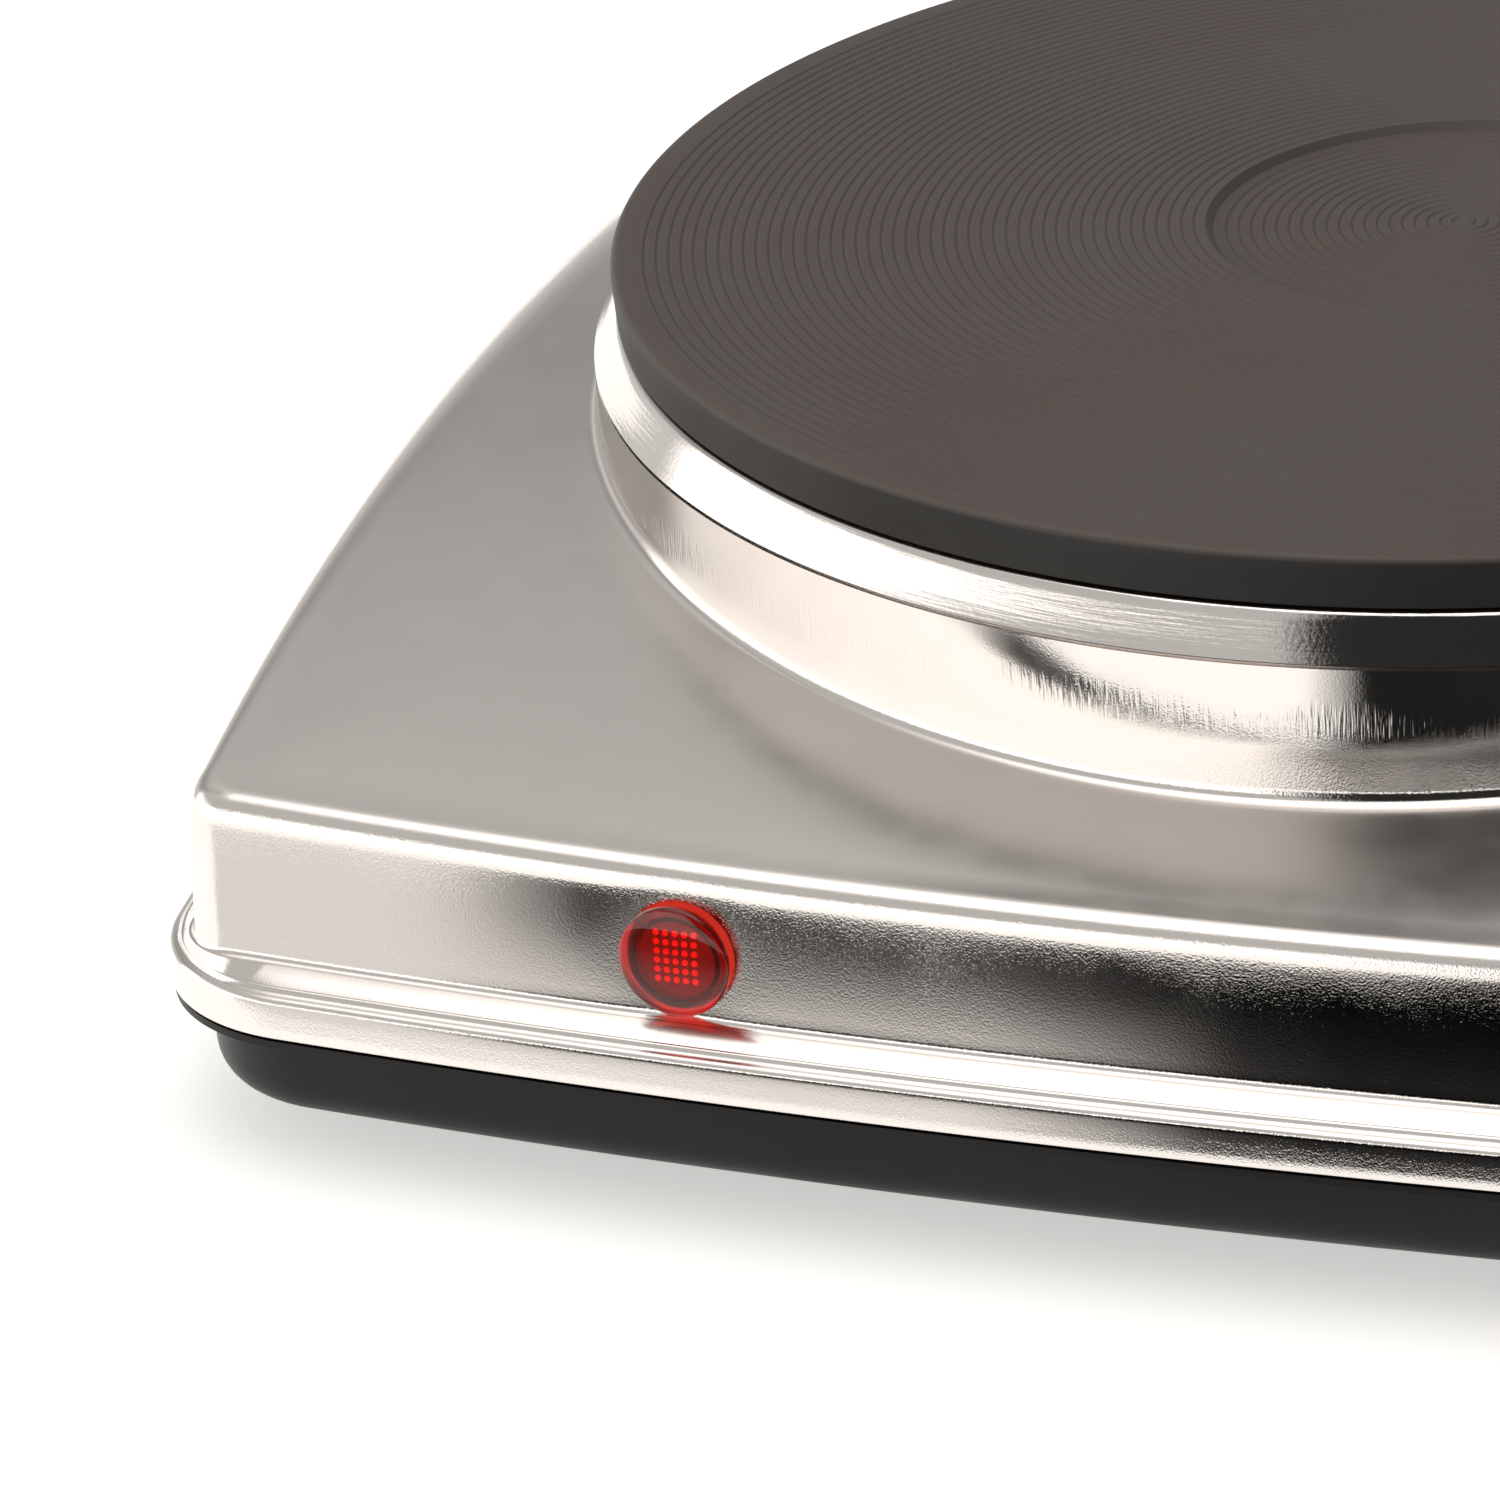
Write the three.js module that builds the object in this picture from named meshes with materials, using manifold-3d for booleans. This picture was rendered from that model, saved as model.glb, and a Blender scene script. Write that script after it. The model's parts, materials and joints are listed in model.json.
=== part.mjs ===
// Single-burner electric hot plate: a cast-iron plate clamped to a polished pressed-steel shell,
// with its heating element, thermostat, indicator lamp and wiring between the shell and a base pan.
// Millimetres, +Z up, front towards -Y. The origin is on the table, at the middle of the footprint.
import * as THREE from 'three';
import { mergeVertices } from 'three/addons/utils/BufferGeometryUtils.js';
import Module from 'manifold-3d';

const wasm = await Module();
wasm.setup();

// ---- Driving dimensions -------------------------------------------------------------------
const FIT_GAP = 0.3;           // clearance kept between pieces that touch
const SHEET = 0.8;             // shell and pan sheet thickness
const STRIP = 1.5;             // bracket and gusset sheet thickness

const PLATE_R = 92.5;          // cast-iron plate
const PLATE_RIM = 5.8;         // height of the rim that shows
const PLATE_TAPER = 0.4;       // rim narrows downwards
const RECESS_R = 28;           // shallow sunk centre of the plate
const RECESS_DEPTH = 0.8;
const SKIRT_DEPTH = 10.5;      // wall under the plate that holds the element
const SKIRT_WALL = 5;
const PLATE_WEB = 4.2;         // iron left above the element

const RING_HEIGHT = 5.5;       // conical trim ring under the plate
const RING_FLARE = 2.3;
const COLLAR_HEIGHT = 6.4;     // drawn collar, above the crown of the top face
const COLLAR_FILLET = 1.6;
const SHELF_WIDTH = 23.5;      // top face between collar and side wall, at the middle of a side
const FRONT_BOW = 1000;        // plan radius of the gently bowed front and back
const SIDE_BOW = 850;          // plan radius of the bowed left and right sides
const SIDE_TUCK = 3.5;         // left and right sides nearer the middle than front and back
const CORNER_R = 6;            // plan radius of the wall's corners
const CORNER_SPREAD = 3;       // how fast the corner opens towards the lip
const SHELL_RISE = 12;         // the top face is an arch, highest along the middle
const SHOULDER_FRONT = 3;      // edge rounding where the arch is low
const SHOULDER_SIDE = 10;      // edge rounding where the arch is high
const WALL_HEIGHT = 16.6;      // from the ledge to the top face, at front and back
const LEDGE_WIDTH = 4.6;
const LEDGE_STEP = 2;
const LIP_HEIGHT = 4.7;

const FOOT_DROP = 4;           // feet below the pan
const FOOT_R = 9;
const FOOT_INSET = 34.7;       // feet inside the pan's wall, both ways
const PAN_DEPTH = 11.5;
const PAN_INSET = 4.2;         // pan wall inside the lip's outside
const PAN_ROUND = 4.5;
const VENT_LENGTH = 16;
const VENT_WIDTH = 4.5;
const VENT_COUNT = 8;
const VENT_RING_R = 62;

const KNOB_X = 69;             // thermostat, right of the middle
const KNOB_R = 17;
const KNOB_DEPTH = 17;
const KNOB_LIFT = 7.4;         // knob centre above the ledge
const KNOB_STANDOFF = 7.6;     // knob's back face off the wall, so it clears the lip
const SHAFT_R = 3;
const BUSH_R = 4.8;
const NUT_ACROSS = 11.6;        // low enough to sit between ledge and shoulder

const LAMP_X = -51.3;          // indicator lamp, left of the middle
const LAMP_R = 6;
const LAMP_BODY_R = 4.9;
const LAMP_LIFT = 6.9;         // lamp centre above the ledge
const LAMP_HEAD = 1.5;
const LAMP_BODY_LENGTH = 14;

const GLAND_X = 60;            // cord inlet in the back wall
const GLAND_R = 6.8;
const GLAND_BODY_R = 5.2;
const GLAND_BORE_R = 3.6;
const GLAND_NOSE = 7.5;
const GLAND_LIFT = 7.9;        // inlet centre above the ledge

const STUD_R = 4;
const TERMINAL_R = 2.2;
const TERMINAL_OFFSET = 34;    // terminals from the plate's axis
const TERMINAL_SPREAD = 11;
const BAR_WIDTH = 22;
const LEAD_R = 1.3;
const THIN_LEAD_R = 0.8;
const LEAD_END_GAP = 0.7;      // a lead's end off the terminal it serves, so a slanted end clears

// ---- Levels and outlines worked out from them ----------------------------------------------
const PAN_BOTTOM = FOOT_DROP;
const PAN_TOP = PAN_BOTTOM + PAN_DEPTH;
const LIP_BOTTOM = PAN_TOP;
const LEDGE_LOW = LIP_BOTTOM + LIP_HEIGHT;     // ledge at the lip
const LEDGE_Z = LEDGE_LOW + LEDGE_STEP;        // ledge at the wall
const EDGE_Z = LEDGE_Z + WALL_HEIGHT;
const CROWN_Z = EDGE_Z + SHELL_RISE;
const SEAM_Z = CROWN_Z + COLLAR_HEIGHT;
const RIM_Z = SEAM_Z + RING_HEIGHT;
const PLATE_TOP = RIM_Z + PLATE_RIM;
const COLLAR_R = PLATE_R + RING_FLARE;
const BODY_HALF = COLLAR_R + SHELF_WIDTH;
const LIP_HALF = BODY_HALF + LEDGE_WIDTH;
const PAN_HALF = LIP_HALF - PAN_INSET;
const FOOT_OFFSET = PAN_HALF - FOOT_INSET;
const FRONT_CENTRE = FRONT_BOW - BODY_HALF;    // centres of the bows, behind the middle
const SIDE_CENTRE = SIDE_BOW - BODY_HALF + SIDE_TUCK;
const PLATE_UNDER = PLATE_TOP - RECESS_DEPTH - PLATE_WEB;
const SKIRT_R = PLATE_R - RING_FLARE - SHEET;
const SKIRT_BOTTOM = RIM_Z - SKIRT_DEPTH;
const POCKET_R = SKIRT_R - SKIRT_WALL;
const FLOOR_Z = PAN_BOTTOM + SHEET;

// How far the front wall's outside is from the middle, at a given x.
function wallReach(x) {
  return Math.sqrt(FRONT_BOW ** 2 - x ** 2) - FRONT_CENTRE;
}

const KNOB_FACE = KNOB_STANDOFF + KNOB_DEPTH;
const KNOB_FACE_R = KNOB_R - 3.6;
const KNOB_LEAN = Math.asin(KNOB_X / FRONT_BOW);
const FRONT_REACH = wallReach(KNOB_X) + KNOB_FACE * Math.cos(KNOB_LEAN) + KNOB_FACE_R * Math.sin(KNOB_LEAN);
const BACK_REACH = Math.max(LIP_HALF, wallReach(GLAND_X) + GLAND_NOSE);

// ---- Finishes --------------------------------------------------------------------------------
function finish(color, roughness, metalness, opacity = 1) {
  return new THREE.MeshStandardMaterial({ color, roughness, metalness, opacity, transparent: opacity < 1 });
}
const POLISHED = finish('#c9c4be', 0.12, 1);
const IRON = finish('#4a433e', 0.6, 0.3);
const BLACK_PAINT = finish('#2b2622', 0.45, 0);
const ZINC = finish('#a8a9a6', 0.4, 1);
const BRASS = finish('#b08d48', 0.35, 1);
const CERAMIC = finish('#e4ddcf', 0.7, 0);
const BLACK_PLASTIC = finish('#1b1918', 0.5, 0);
const RUBBER = finish('#232120', 0.85, 0);
const RED_LENS = finish('#c02a1c', 0.15, 0, 0.7);
const GLASS = finish('#f0d8c8', 0.05, 0, 0.4);
const SLEEVE = finish('#d8d2c4', 0.8, 0);
const EARTH_SLEEVE = finish('#7f9a3c', 0.7, 0);
const WHITE_INLAY = finish('#e8e6e0', 0.5, 0);

// ---- Shape helpers ---------------------------------------------------------------------------
const body = new THREE.Group();
body.position.y = (FRONT_REACH - BACK_REACH) / 2;

function add(name, geometry, material, place = body) {
  const mesh = new THREE.Mesh(geometry, material);
  mesh.name = name;
  place.add(mesh);
  return mesh;
}

function solid(geometry) {
  const bare = geometry.clone();
  bare.deleteAttribute('normal');
  bare.deleteAttribute('uv');
  const merged = mergeVertices(bare, 1e-3);
  const vertProperties = new Float32Array(merged.attributes.position.array);
  const triVerts = new Uint32Array(merged.index.array);
  return new wasm.Manifold(new wasm.Mesh({ numProp: 3, vertProperties, triVerts }));
}

function geometryOf(manifold) {
  const mesh = manifold.getMesh();
  const geometry = new THREE.BufferGeometry();
  geometry.setAttribute('position', new THREE.BufferAttribute(new Float32Array(mesh.vertProperties), 3));
  geometry.setIndex(new THREE.BufferAttribute(new Uint32Array(mesh.triVerts), 1));
  geometry.computeVertexNormals();
  return geometry;
}

function cut(geometry, ...tools) {
  return geometryOf(tools.reduce((left, tool) => left.subtract(solid(tool)), solid(geometry)));
}

function join(geometry, ...others) {
  return geometryOf(others.reduce((sum, other) => sum.add(solid(other)), solid(geometry)));
}

// A turned piece about Z from [radius, z] points, whichever way round they are listed.
function turned(profile, segments) {
  const points = profile.map(([r, z]) => new THREE.Vector2(r, z));
  if (THREE.ShapeUtils.area(points) < 0) points.reverse();
  const first = points[0];
  if (first.x > 0 || points[points.length - 1].x > 0) points.push(first.clone());
  return new THREE.LatheGeometry(points, segments).rotateX(Math.PI / 2);
}

function disc(radius, low, high, segments = 16) {
  return turned([[0, low], [radius, low], [radius, high], [0, high]], segments);
}

function tube(inner, outer, low, high, segments = 16) {
  return turned([[inner, low], [outer, low], [outer, high], [inner, high]], segments);
}

function box(sizeX, sizeY, sizeZ, x, y, z) {
  return new THREE.BoxGeometry(sizeX, sizeY, sizeZ).translate(x, y, z);
}

// A flat outline in X and Z, made thick along Y about y = 0.
function sidePlate(points, width) {
  const shape = new THREE.Shape(points.map(([x, z]) => new THREE.Vector2(x, z)));
  const geometry = new THREE.ExtrudeGeometry(shape, { depth: width, bevelEnabled: false });
  return geometry.translate(0, 0, -width / 2).rotateX(Math.PI / 2);
}

// A round wire along a smooth curve through the points.
function wire(points, radius, steps = 14, sides = 6) {
  const curve = new THREE.CatmullRomCurve3(points.map((p) => new THREE.Vector3(...p)), false, 'centripetal');
  const section = new THREE.Shape();
  section.absarc(0, 0, radius, 0, 2 * Math.PI);
  return new THREE.ExtrudeGeometry(section, { extrudePath: curve, steps, curveSegments: sides / 2 });
}

// The three arcs of a quarter of the outline with a given half width, set in by a depth: the bowed
// side, the corner and the bowed front. Each has its centre, its radius and the angle where it ends.
function quarterArcs(half, depth) {
  const grow = half - BODY_HALF;
  const corner = CORNER_R + CORNER_SPREAD * Math.max(grow, 0);
  const side = SIDE_BOW + grow;
  const front = FRONT_BOW + grow;
  const span = Math.hypot(SIDE_CENTRE, FRONT_CENTRE);
  const toSide = side - corner;
  const toFront = front - corner;
  const along = (toSide ** 2 - toFront ** 2 + span ** 2) / (2 * span);
  const across = Math.sqrt(toSide ** 2 - along ** 2);
  const x = (along * SIDE_CENTRE + across * FRONT_CENTRE) / span - SIDE_CENTRE;
  const y = (across * SIDE_CENTRE - along * FRONT_CENTRE) / span;
  const sideShare = (side - depth) / toSide;
  const frontShare = (front - depth) / toFront;
  const sideEnd = Math.atan2(y * sideShare, (x + SIDE_CENTRE) * sideShare - SIDE_CENTRE);
  const frontStart = Math.atan2((y + FRONT_CENTRE) * frontShare - FRONT_CENTRE, x * frontShare);
  return [
    { x: -SIDE_CENTRE, y: 0, radius: side - depth, end: sideEnd },
    { x, y, radius: corner - depth, end: frontStart },
    { x: 0, y: -FRONT_CENTRE, radius: front - depth, end: Math.PI / 2 },
  ];
}

// Distance from the axis to the bowed outline, at an angle.
function outlineRadius(angle, half, depth = 0) {
  const acrossX = Math.abs(Math.cos(angle));
  const acrossY = Math.abs(Math.sin(angle));
  const fold = Math.atan2(acrossY, acrossX);
  const arcs = quarterArcs(half, depth);
  const { x, y, radius } = arcs.find((arc) => fold < arc.end) ?? arcs[2];
  const along = x * acrossX + y * acrossY;
  return along + Math.sqrt(radius ** 2 - x ** 2 - y ** 2 + along ** 2);
}

function archShare(y) {
  return Math.cos(((Math.PI / 2) * Math.min(Math.abs(y), BODY_HALF)) / BODY_HALF);
}

function archZ(y) {
  return EDGE_Z + SHELL_RISE * archShare(y);
}

function shoulder(y) {
  return SHOULDER_FRONT + (SHOULDER_SIDE - SHOULDER_FRONT) * archShare(y);
}

// Angles round the outline: even along the sides and closer together in the corners.
function outlineAngles() {
  const [lipSide, lipCorner] = quarterArcs(LIP_HALF, 0).map((arc) => arc.end);
  const [wallSide, wallCorner] = quarterArcs(BODY_HALF, 0).map((arc) => arc.end);
  const spread = (from, to, count) =>
    Array.from({ length: count }, (_, step) => from + (step / count) * (to - from));
  const quadrant = [
    ...spread(0, lipSide, 6),
    ...spread(lipSide, wallSide, 2),
    ...spread(wallSide, wallCorner, 3),
    ...spread(wallCorner, lipCorner, 2),
    ...spread(lipCorner, Math.PI / 2, 6),
  ];
  const half = [...quadrant, ...quadrant.slice(1).reverse().map((angle) => Math.PI - angle)];
  half.splice(quadrant.length, 0, Math.PI / 2);
  return [...half, ...half.map((angle) => angle + Math.PI)];
}
const ANGLES = outlineAngles();

// A sheet body round the outline. Each row gives, for an angle, the distance from the axis and z.
function pressed(rows, closed) {
  const dummy = rows.map((_, index) => new THREE.Vector2(1, index));
  if (closed) dummy.push(dummy[0].clone());
  const geometry = new THREE.LatheGeometry(dummy, ANGLES.length);
  const position = geometry.attributes.position;
  for (let segment = 0; segment <= ANGLES.length; segment += 1) {
    const angle = ANGLES[segment % ANGLES.length];
    dummy.forEach((_, index) => {
      const [radius, z] = rows[index % rows.length](angle);
      position.setXYZ(segment * dummy.length + index, radius * Math.cos(angle), radius * Math.sin(angle), z);
    });
  }
  return geometry;
}

// ---- Shell: lip, ledge, wall, arched top face and collar, pressed from one sheet -----------------
const WALL_DRAFT = 0.5;        // how far the wall leans in
const COVE = 1;                // hollow between ledge and wall
const LIP_ROUND = 0.9;
const WALL_BACK = -(SHEET + WALL_DRAFT + FIT_GAP);   // clear of the wall's inside, from its outside

function wallRow(half, z, depth = 0) {
  return (angle) => [outlineRadius(angle, half, depth), z];
}

// One face of the shell's sheet, set in by a depth: the outer face has depth 0.
// Its shoulder is rounded in a given number of steps.
function shellFace(depth, steps) {
  const ledge = LEDGE_Z - depth;
  const ledgeLow = LEDGE_LOW - depth;
  const collar = COLLAR_R - depth;
  const fillet = COLLAR_FILLET + depth;
  const edgePoint = (angle) => {
    const outer = outlineRadius(angle, BODY_HALF, depth + WALL_DRAFT);
    const y = outer * Math.sin(angle);
    return { outer, round: shoulder(y) - depth, top: archZ(y) - depth };
  };
  const shoulderRow = (turn) => (angle) => {
    const { outer, round, top } = edgePoint(angle);
    const inward = round * (1 - Math.cos(turn));
    return [outer - inward, top - round * (1 - Math.sin(turn))];
  };
  const topRow = (share) => (angle) => {
    const { outer, round } = edgePoint(angle);
    const start = outer - round;
    const radius = start + (collar + fillet - start) * share;
    return [radius, archZ(radius * Math.sin(angle)) - depth];
  };
  const filletRow = (turn) => (angle) => {
    const radius = collar + fillet * (1 - Math.sin(turn));
    const foot = archZ((collar + fillet) * Math.sin(angle)) - depth;
    return [radius, foot + fillet * (1 - Math.cos(turn))];
  };
  const turns = Array.from({ length: steps + 1 }, (_, step) => ((step / steps) * Math.PI) / 2);
  return [
    wallRow(LIP_HALF, LIP_BOTTOM, depth),
    wallRow(LIP_HALF, ledgeLow - LIP_ROUND, depth),
    wallRow(LIP_HALF, ledgeLow, depth + LIP_ROUND),
    wallRow(BODY_HALF + COVE, ledge, depth),
    wallRow(BODY_HALF + COVE * 0.3, ledge + COVE * 0.3, depth),
    wallRow(BODY_HALF, ledge + COVE, depth),
    ...turns.map(shoulderRow),
    topRow(1 / 3),
    topRow(2 / 3),
    topRow(1),
    filletRow(Math.PI / 4),
    filletRow(Math.PI / 2),
    () => [collar, SEAM_Z],
  ];
}

// Places a group at the wall's outside, at a given x, with its local +Z pointing straight out.
function onWall(x, z, back) {
  const side = back ? 1 : -1;
  const lean = Math.asin(x / FRONT_BOW);
  const group = new THREE.Group();
  group.position.set(x, side * wallReach(x), z);
  group.rotation.order = 'ZXY';
  group.rotation.z = back ? -lean : lean;
  group.rotation.x = -side * (Math.PI / 2);
  body.add(group);
  return group;
}

function throughWall(place, radius, depth) {
  place.updateMatrix();
  return disc(radius, -depth, depth, 24).applyMatrix4(place.matrix);
}

const knobPlace = onWall(KNOB_X, LEDGE_Z + KNOB_LIFT, false);
const lampPlace = onWall(LAMP_X, LEDGE_Z + LAMP_LIFT, false);
const glandPlace = onWall(GLAND_X, LEDGE_Z + GLAND_LIFT, true);

function shell() {
  const rows = [...shellFace(0, 3), ...shellFace(SHEET, 2).reverse()];
  const holes = [
    throughWall(knobPlace, BUSH_R + FIT_GAP, 4),
    throughWall(lampPlace, LAMP_BODY_R + FIT_GAP, 4),
    throughWall(glandPlace, GLAND_BODY_R + FIT_GAP, 4),
  ];
  add('shell', cut(pressed(rows, true), ...holes), POLISHED);
}

// ---- Plate, its trim ring and its element ---------------------------------------------------------
function trimRing() {
  const low = SEAM_Z + FIT_GAP;
  const high = RIM_Z - FIT_GAP;
  const inner = SKIRT_R + FIT_GAP;
  add('trim_ring', turned([
    [COLLAR_R - 1.6, low - 3],
    [COLLAR_R - SHEET - FIT_GAP, low - 3],
    [COLLAR_R - SHEET - FIT_GAP, low],
    [COLLAR_R, low],
    [PLATE_R - PLATE_TAPER, high],
    [inner, high],
    [inner, high - 0.7],
    [PLATE_R - PLATE_TAPER - 1, high - 0.7],
    [COLLAR_R - 1.6, low + 0.8],
  ], 48), POLISHED);
}

function hotPlate() {
  add('hot_plate', turned([
    [0, PLATE_TOP - RECESS_DEPTH],
    [RECESS_R - RECESS_DEPTH, PLATE_TOP - RECESS_DEPTH],
    [RECESS_R, PLATE_TOP],
    [PLATE_R - 0.7, PLATE_TOP],
    [PLATE_R, PLATE_TOP - 0.7],
    [PLATE_R - PLATE_TAPER, RIM_Z],
    [SKIRT_R, RIM_Z],
    [SKIRT_R, SKIRT_BOTTOM],
    [POCKET_R, SKIRT_BOTTOM],
    [POCKET_R, PLATE_UNDER],
    [0, PLATE_UNDER],
  ], 48), IRON);
}

const COIL_WIRE_R = 1.6;
const COIL_TURNS = 2.5;
const COIL_STEPS = 20;         // steps a turn
const COIL_INNER = TERMINAL_OFFSET;
const COIL_Z = PLATE_UNDER - FIT_GAP - COIL_WIRE_R;
const CEMENT_TOP = COIL_Z - COIL_WIRE_R - FIT_GAP;
const CEMENT_THICK = 3;
const COVER_TOP = CEMENT_TOP - CEMENT_THICK - FIT_GAP;
const SHIELD_Z = SKIRT_BOTTOM - 5;
const BAR_Z = SHIELD_Z - 6;
const PIN_LOW = SHIELD_Z - 4;  // terminal pins end here, in flat tongues
const TONGUE = 6.5;

function heatingCoil() {
  const outer = POCKET_R - 6;
  const steps = COIL_STEPS * COIL_TURNS;
  const points = [];
  for (let step = 0; step <= steps; step += 1) {
    const angle = (2 * Math.PI * step) / COIL_STEPS;
    const radius = COIL_INNER + ((outer - COIL_INNER) * step) / steps;
    points.push([radius * Math.cos(angle), radius * Math.sin(angle), COIL_Z]);
  }
  add('heating_coil', wire(points, COIL_WIRE_R, steps), ZINC);
}

function cementDisc() {
  add('cement_disc', tube(STUD_R + 1, POCKET_R - FIT_GAP, CEMENT_TOP - CEMENT_THICK, CEMENT_TOP, 36), CERAMIC);
}

// The two places where current enters the element, behind the clamp bar.
const TERMINALS = [-1, 1].map((side) => [side * TERMINAL_SPREAD, TERMINAL_OFFSET]);

function terminalHole(x, y, z) {
  return disc(TERMINAL_R + 1.8 + FIT_GAP, -3, 3, 12).translate(x, y, z);
}

function elementCover() {
  const plain = tube(STUD_R + 1, POCKET_R - FIT_GAP, COVER_TOP - SHEET, COVER_TOP, 36);
  const holes = TERMINALS.map(([x, y]) => terminalHole(x, y, COVER_TOP));
  add('element_cover', cut(plain, ...holes), ZINC);
}

function elementTerminals() {
  TERMINALS.forEach(([x, y], index) => {
    const name = index === 0 ? 'left' : 'right';
    const top = CEMENT_TOP - CEMENT_THICK - FIT_GAP;
    const low = PIN_LOW;
    const bead = tube(TERMINAL_R + FIT_GAP, TERMINAL_R + 1.8, low + 2, top, 12);
    const tongue = box(1, 6.3, TONGUE + 0.4, 0, 0, low - TONGUE / 2 + 0.2);
    const pin = join(disc(TERMINAL_R, low, top, 12), tongue);
    add(`terminal_bead_${name}`, bead.translate(x, y, 0), CERAMIC);
    add(`terminal_pin_${name}`, pin.translate(x, y, 0), ZINC);
  });
}

function heatShield() {
  const rim = POCKET_R + 1;
  const dish = turned([
    [STUD_R + 1, SHIELD_Z],
    [rim - 3, SHIELD_Z],
    [rim, SHIELD_Z - 4],
    [rim, SHIELD_Z - 4 - SHEET],
    [rim - SHEET, SHIELD_Z - 4 - SHEET],
    [rim - 3.4, SHIELD_Z - SHEET],
    [STUD_R + 1, SHIELD_Z - SHEET],
  ], 36);
  const holes = TERMINALS.map(([x, y]) => terminalHole(x, y, SHIELD_Z));
  add('heat_shield', cut(dish, ...holes), ZINC);
}

// The bar under the plate pulls up on the shell, and its stud pulls the plate down.
function clampBar() {
  const end = BODY_HALF - SIDE_TUCK - SHOULDER_SIDE - 3;
  const foot = end - 8;
  const bend = foot - 7;
  const pad = archZ(BAR_WIDTH / 2) - SHEET - FIT_GAP;
  const strip = [
    [-end, pad], [-foot, pad], [-bend, BAR_Z], [bend, BAR_Z], [foot, pad], [end, pad],
    [end, pad - STRIP], [foot + 0.6, pad - STRIP], [bend + 0.6, BAR_Z - STRIP],
    [-bend - 0.6, BAR_Z - STRIP], [-foot - 0.6, pad - STRIP], [-end, pad - STRIP],
  ];
  const hole = disc(STUD_R + FIT_GAP, BAR_Z - 4, BAR_Z + 4);
  add('clamp_bar', cut(sidePlate(strip, BAR_WIDTH), hole), ZINC);
}

function hexagon(across, low, high, holeR) {
  const shape = new THREE.Shape();
  for (let corner = 0; corner < 6; corner += 1) {
    const angle = (corner * Math.PI) / 3;
    const reach = across / Math.sqrt(3);
    shape[corner ? 'lineTo' : 'moveTo'](reach * Math.cos(angle), reach * Math.sin(angle));
  }
  const hole = new THREE.Path();
  hole.absarc(0, 0, holeR, 0, 2 * Math.PI, true);
  shape.holes.push(hole);
  const geometry = new THREE.ExtrudeGeometry(shape, { depth: high - low, bevelEnabled: false, curveSegments: 8 });
  return geometry.translate(0, 0, low);
}

function centreFixing() {
  const washerTop = BAR_Z - STRIP - FIT_GAP;
  const nutTop = washerTop - 1.6 - FIT_GAP;
  const bore = STUD_R + FIT_GAP;
  add('centre_stud', disc(STUD_R, nutTop - 11, PLATE_UNDER - FIT_GAP, 20), ZINC);
  add('stud_washer', tube(bore, STUD_R + 5, washerTop - 1.6, washerTop), ZINC);
  add('stud_nut', hexagon(13, nutTop - 6.5, nutTop, bore), ZINC);
}

// ---- Base pan, feet and the screws that hold it -----------------------------------------------------
const CORNERS = [['front_left', -1, -1], ['front_right', 1, -1], ['back_left', -1, 1], ['back_right', 1, 1]];
const SCREW_R = 2;
const BLOCK = { x: 30, y: BODY_HALF - 34.3, length: 38, width: 16, height: 12, pitch: 11 };
const EARTH = { x: PAN_HALF - 50.7, y: 46, shank: 1.8 };
const GUSSET_TOP = LEDGE_LOW - SHEET - FIT_GAP;

function slotTool(length, width) {
  const shape = new THREE.Shape();
  const reach = (length - width) / 2;
  shape.absarc(reach, 0, width / 2, -Math.PI / 2, Math.PI / 2);
  shape.absarc(-reach, 0, width / 2, Math.PI / 2, (3 * Math.PI) / 2);
  return new THREE.ExtrudeGeometry(shape, { depth: 6, bevelEnabled: false, curveSegments: 2 });
}

function basePan() {
  const flange = PAN_TOP - FIT_GAP;
  const panRow = (z, depth) => wallRow(LIP_HALF, z, PAN_INSET + depth);
  const diagonal = PAN_ROUND * (1 - Math.SQRT1_2);
  const rows = [
    () => [0, PAN_BOTTOM],
    panRow(PAN_BOTTOM, PAN_ROUND),
    panRow(PAN_BOTTOM + diagonal, diagonal),
    panRow(PAN_BOTTOM + PAN_ROUND, 0),
    panRow(flange - SHEET, 0),
    wallRow(LIP_HALF, flange - SHEET, FIT_GAP),
    wallRow(LIP_HALF, flange, FIT_GAP),
    panRow(flange, SHEET),
    panRow(PAN_BOTTOM + PAN_ROUND, SHEET),
    panRow(FLOOR_Z + diagonal, SHEET + diagonal),
    panRow(FLOOR_Z, SHEET + PAN_ROUND),
    () => [0, FLOOR_Z],
  ];
  const vents = [];
  for (let index = 0; index < VENT_COUNT; index += 1) {
    const angle = ((index + 0.5) * 2 * Math.PI) / VENT_COUNT;
    vents.push(slotTool(VENT_LENGTH, VENT_WIDTH).translate(VENT_RING_R, 0, PAN_BOTTOM - 3).rotateZ(angle));
  }
  const screwHoles = CORNERS.map(([, x, y]) =>
    disc(SCREW_R + FIT_GAP, 0, FLOOR_Z + 3, 12).translate(x * FOOT_OFFSET, y * FOOT_OFFSET, 0));
  const earthHole = disc(EARTH.shank + FIT_GAP, 0, FLOOR_Z + 3, 12).translate(EARTH.x, EARTH.y, 0);
  const blockHole = disc(EARTH.shank + FIT_GAP, 0, FLOOR_Z + 3, 12).translate(BLOCK.x - BLOCK.pitch / 2, BLOCK.y, 0);
  add('base_pan', cut(pressed(rows, false), ...vents, ...screwHoles, earthHole, blockHole), BLACK_PAINT);
}

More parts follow.
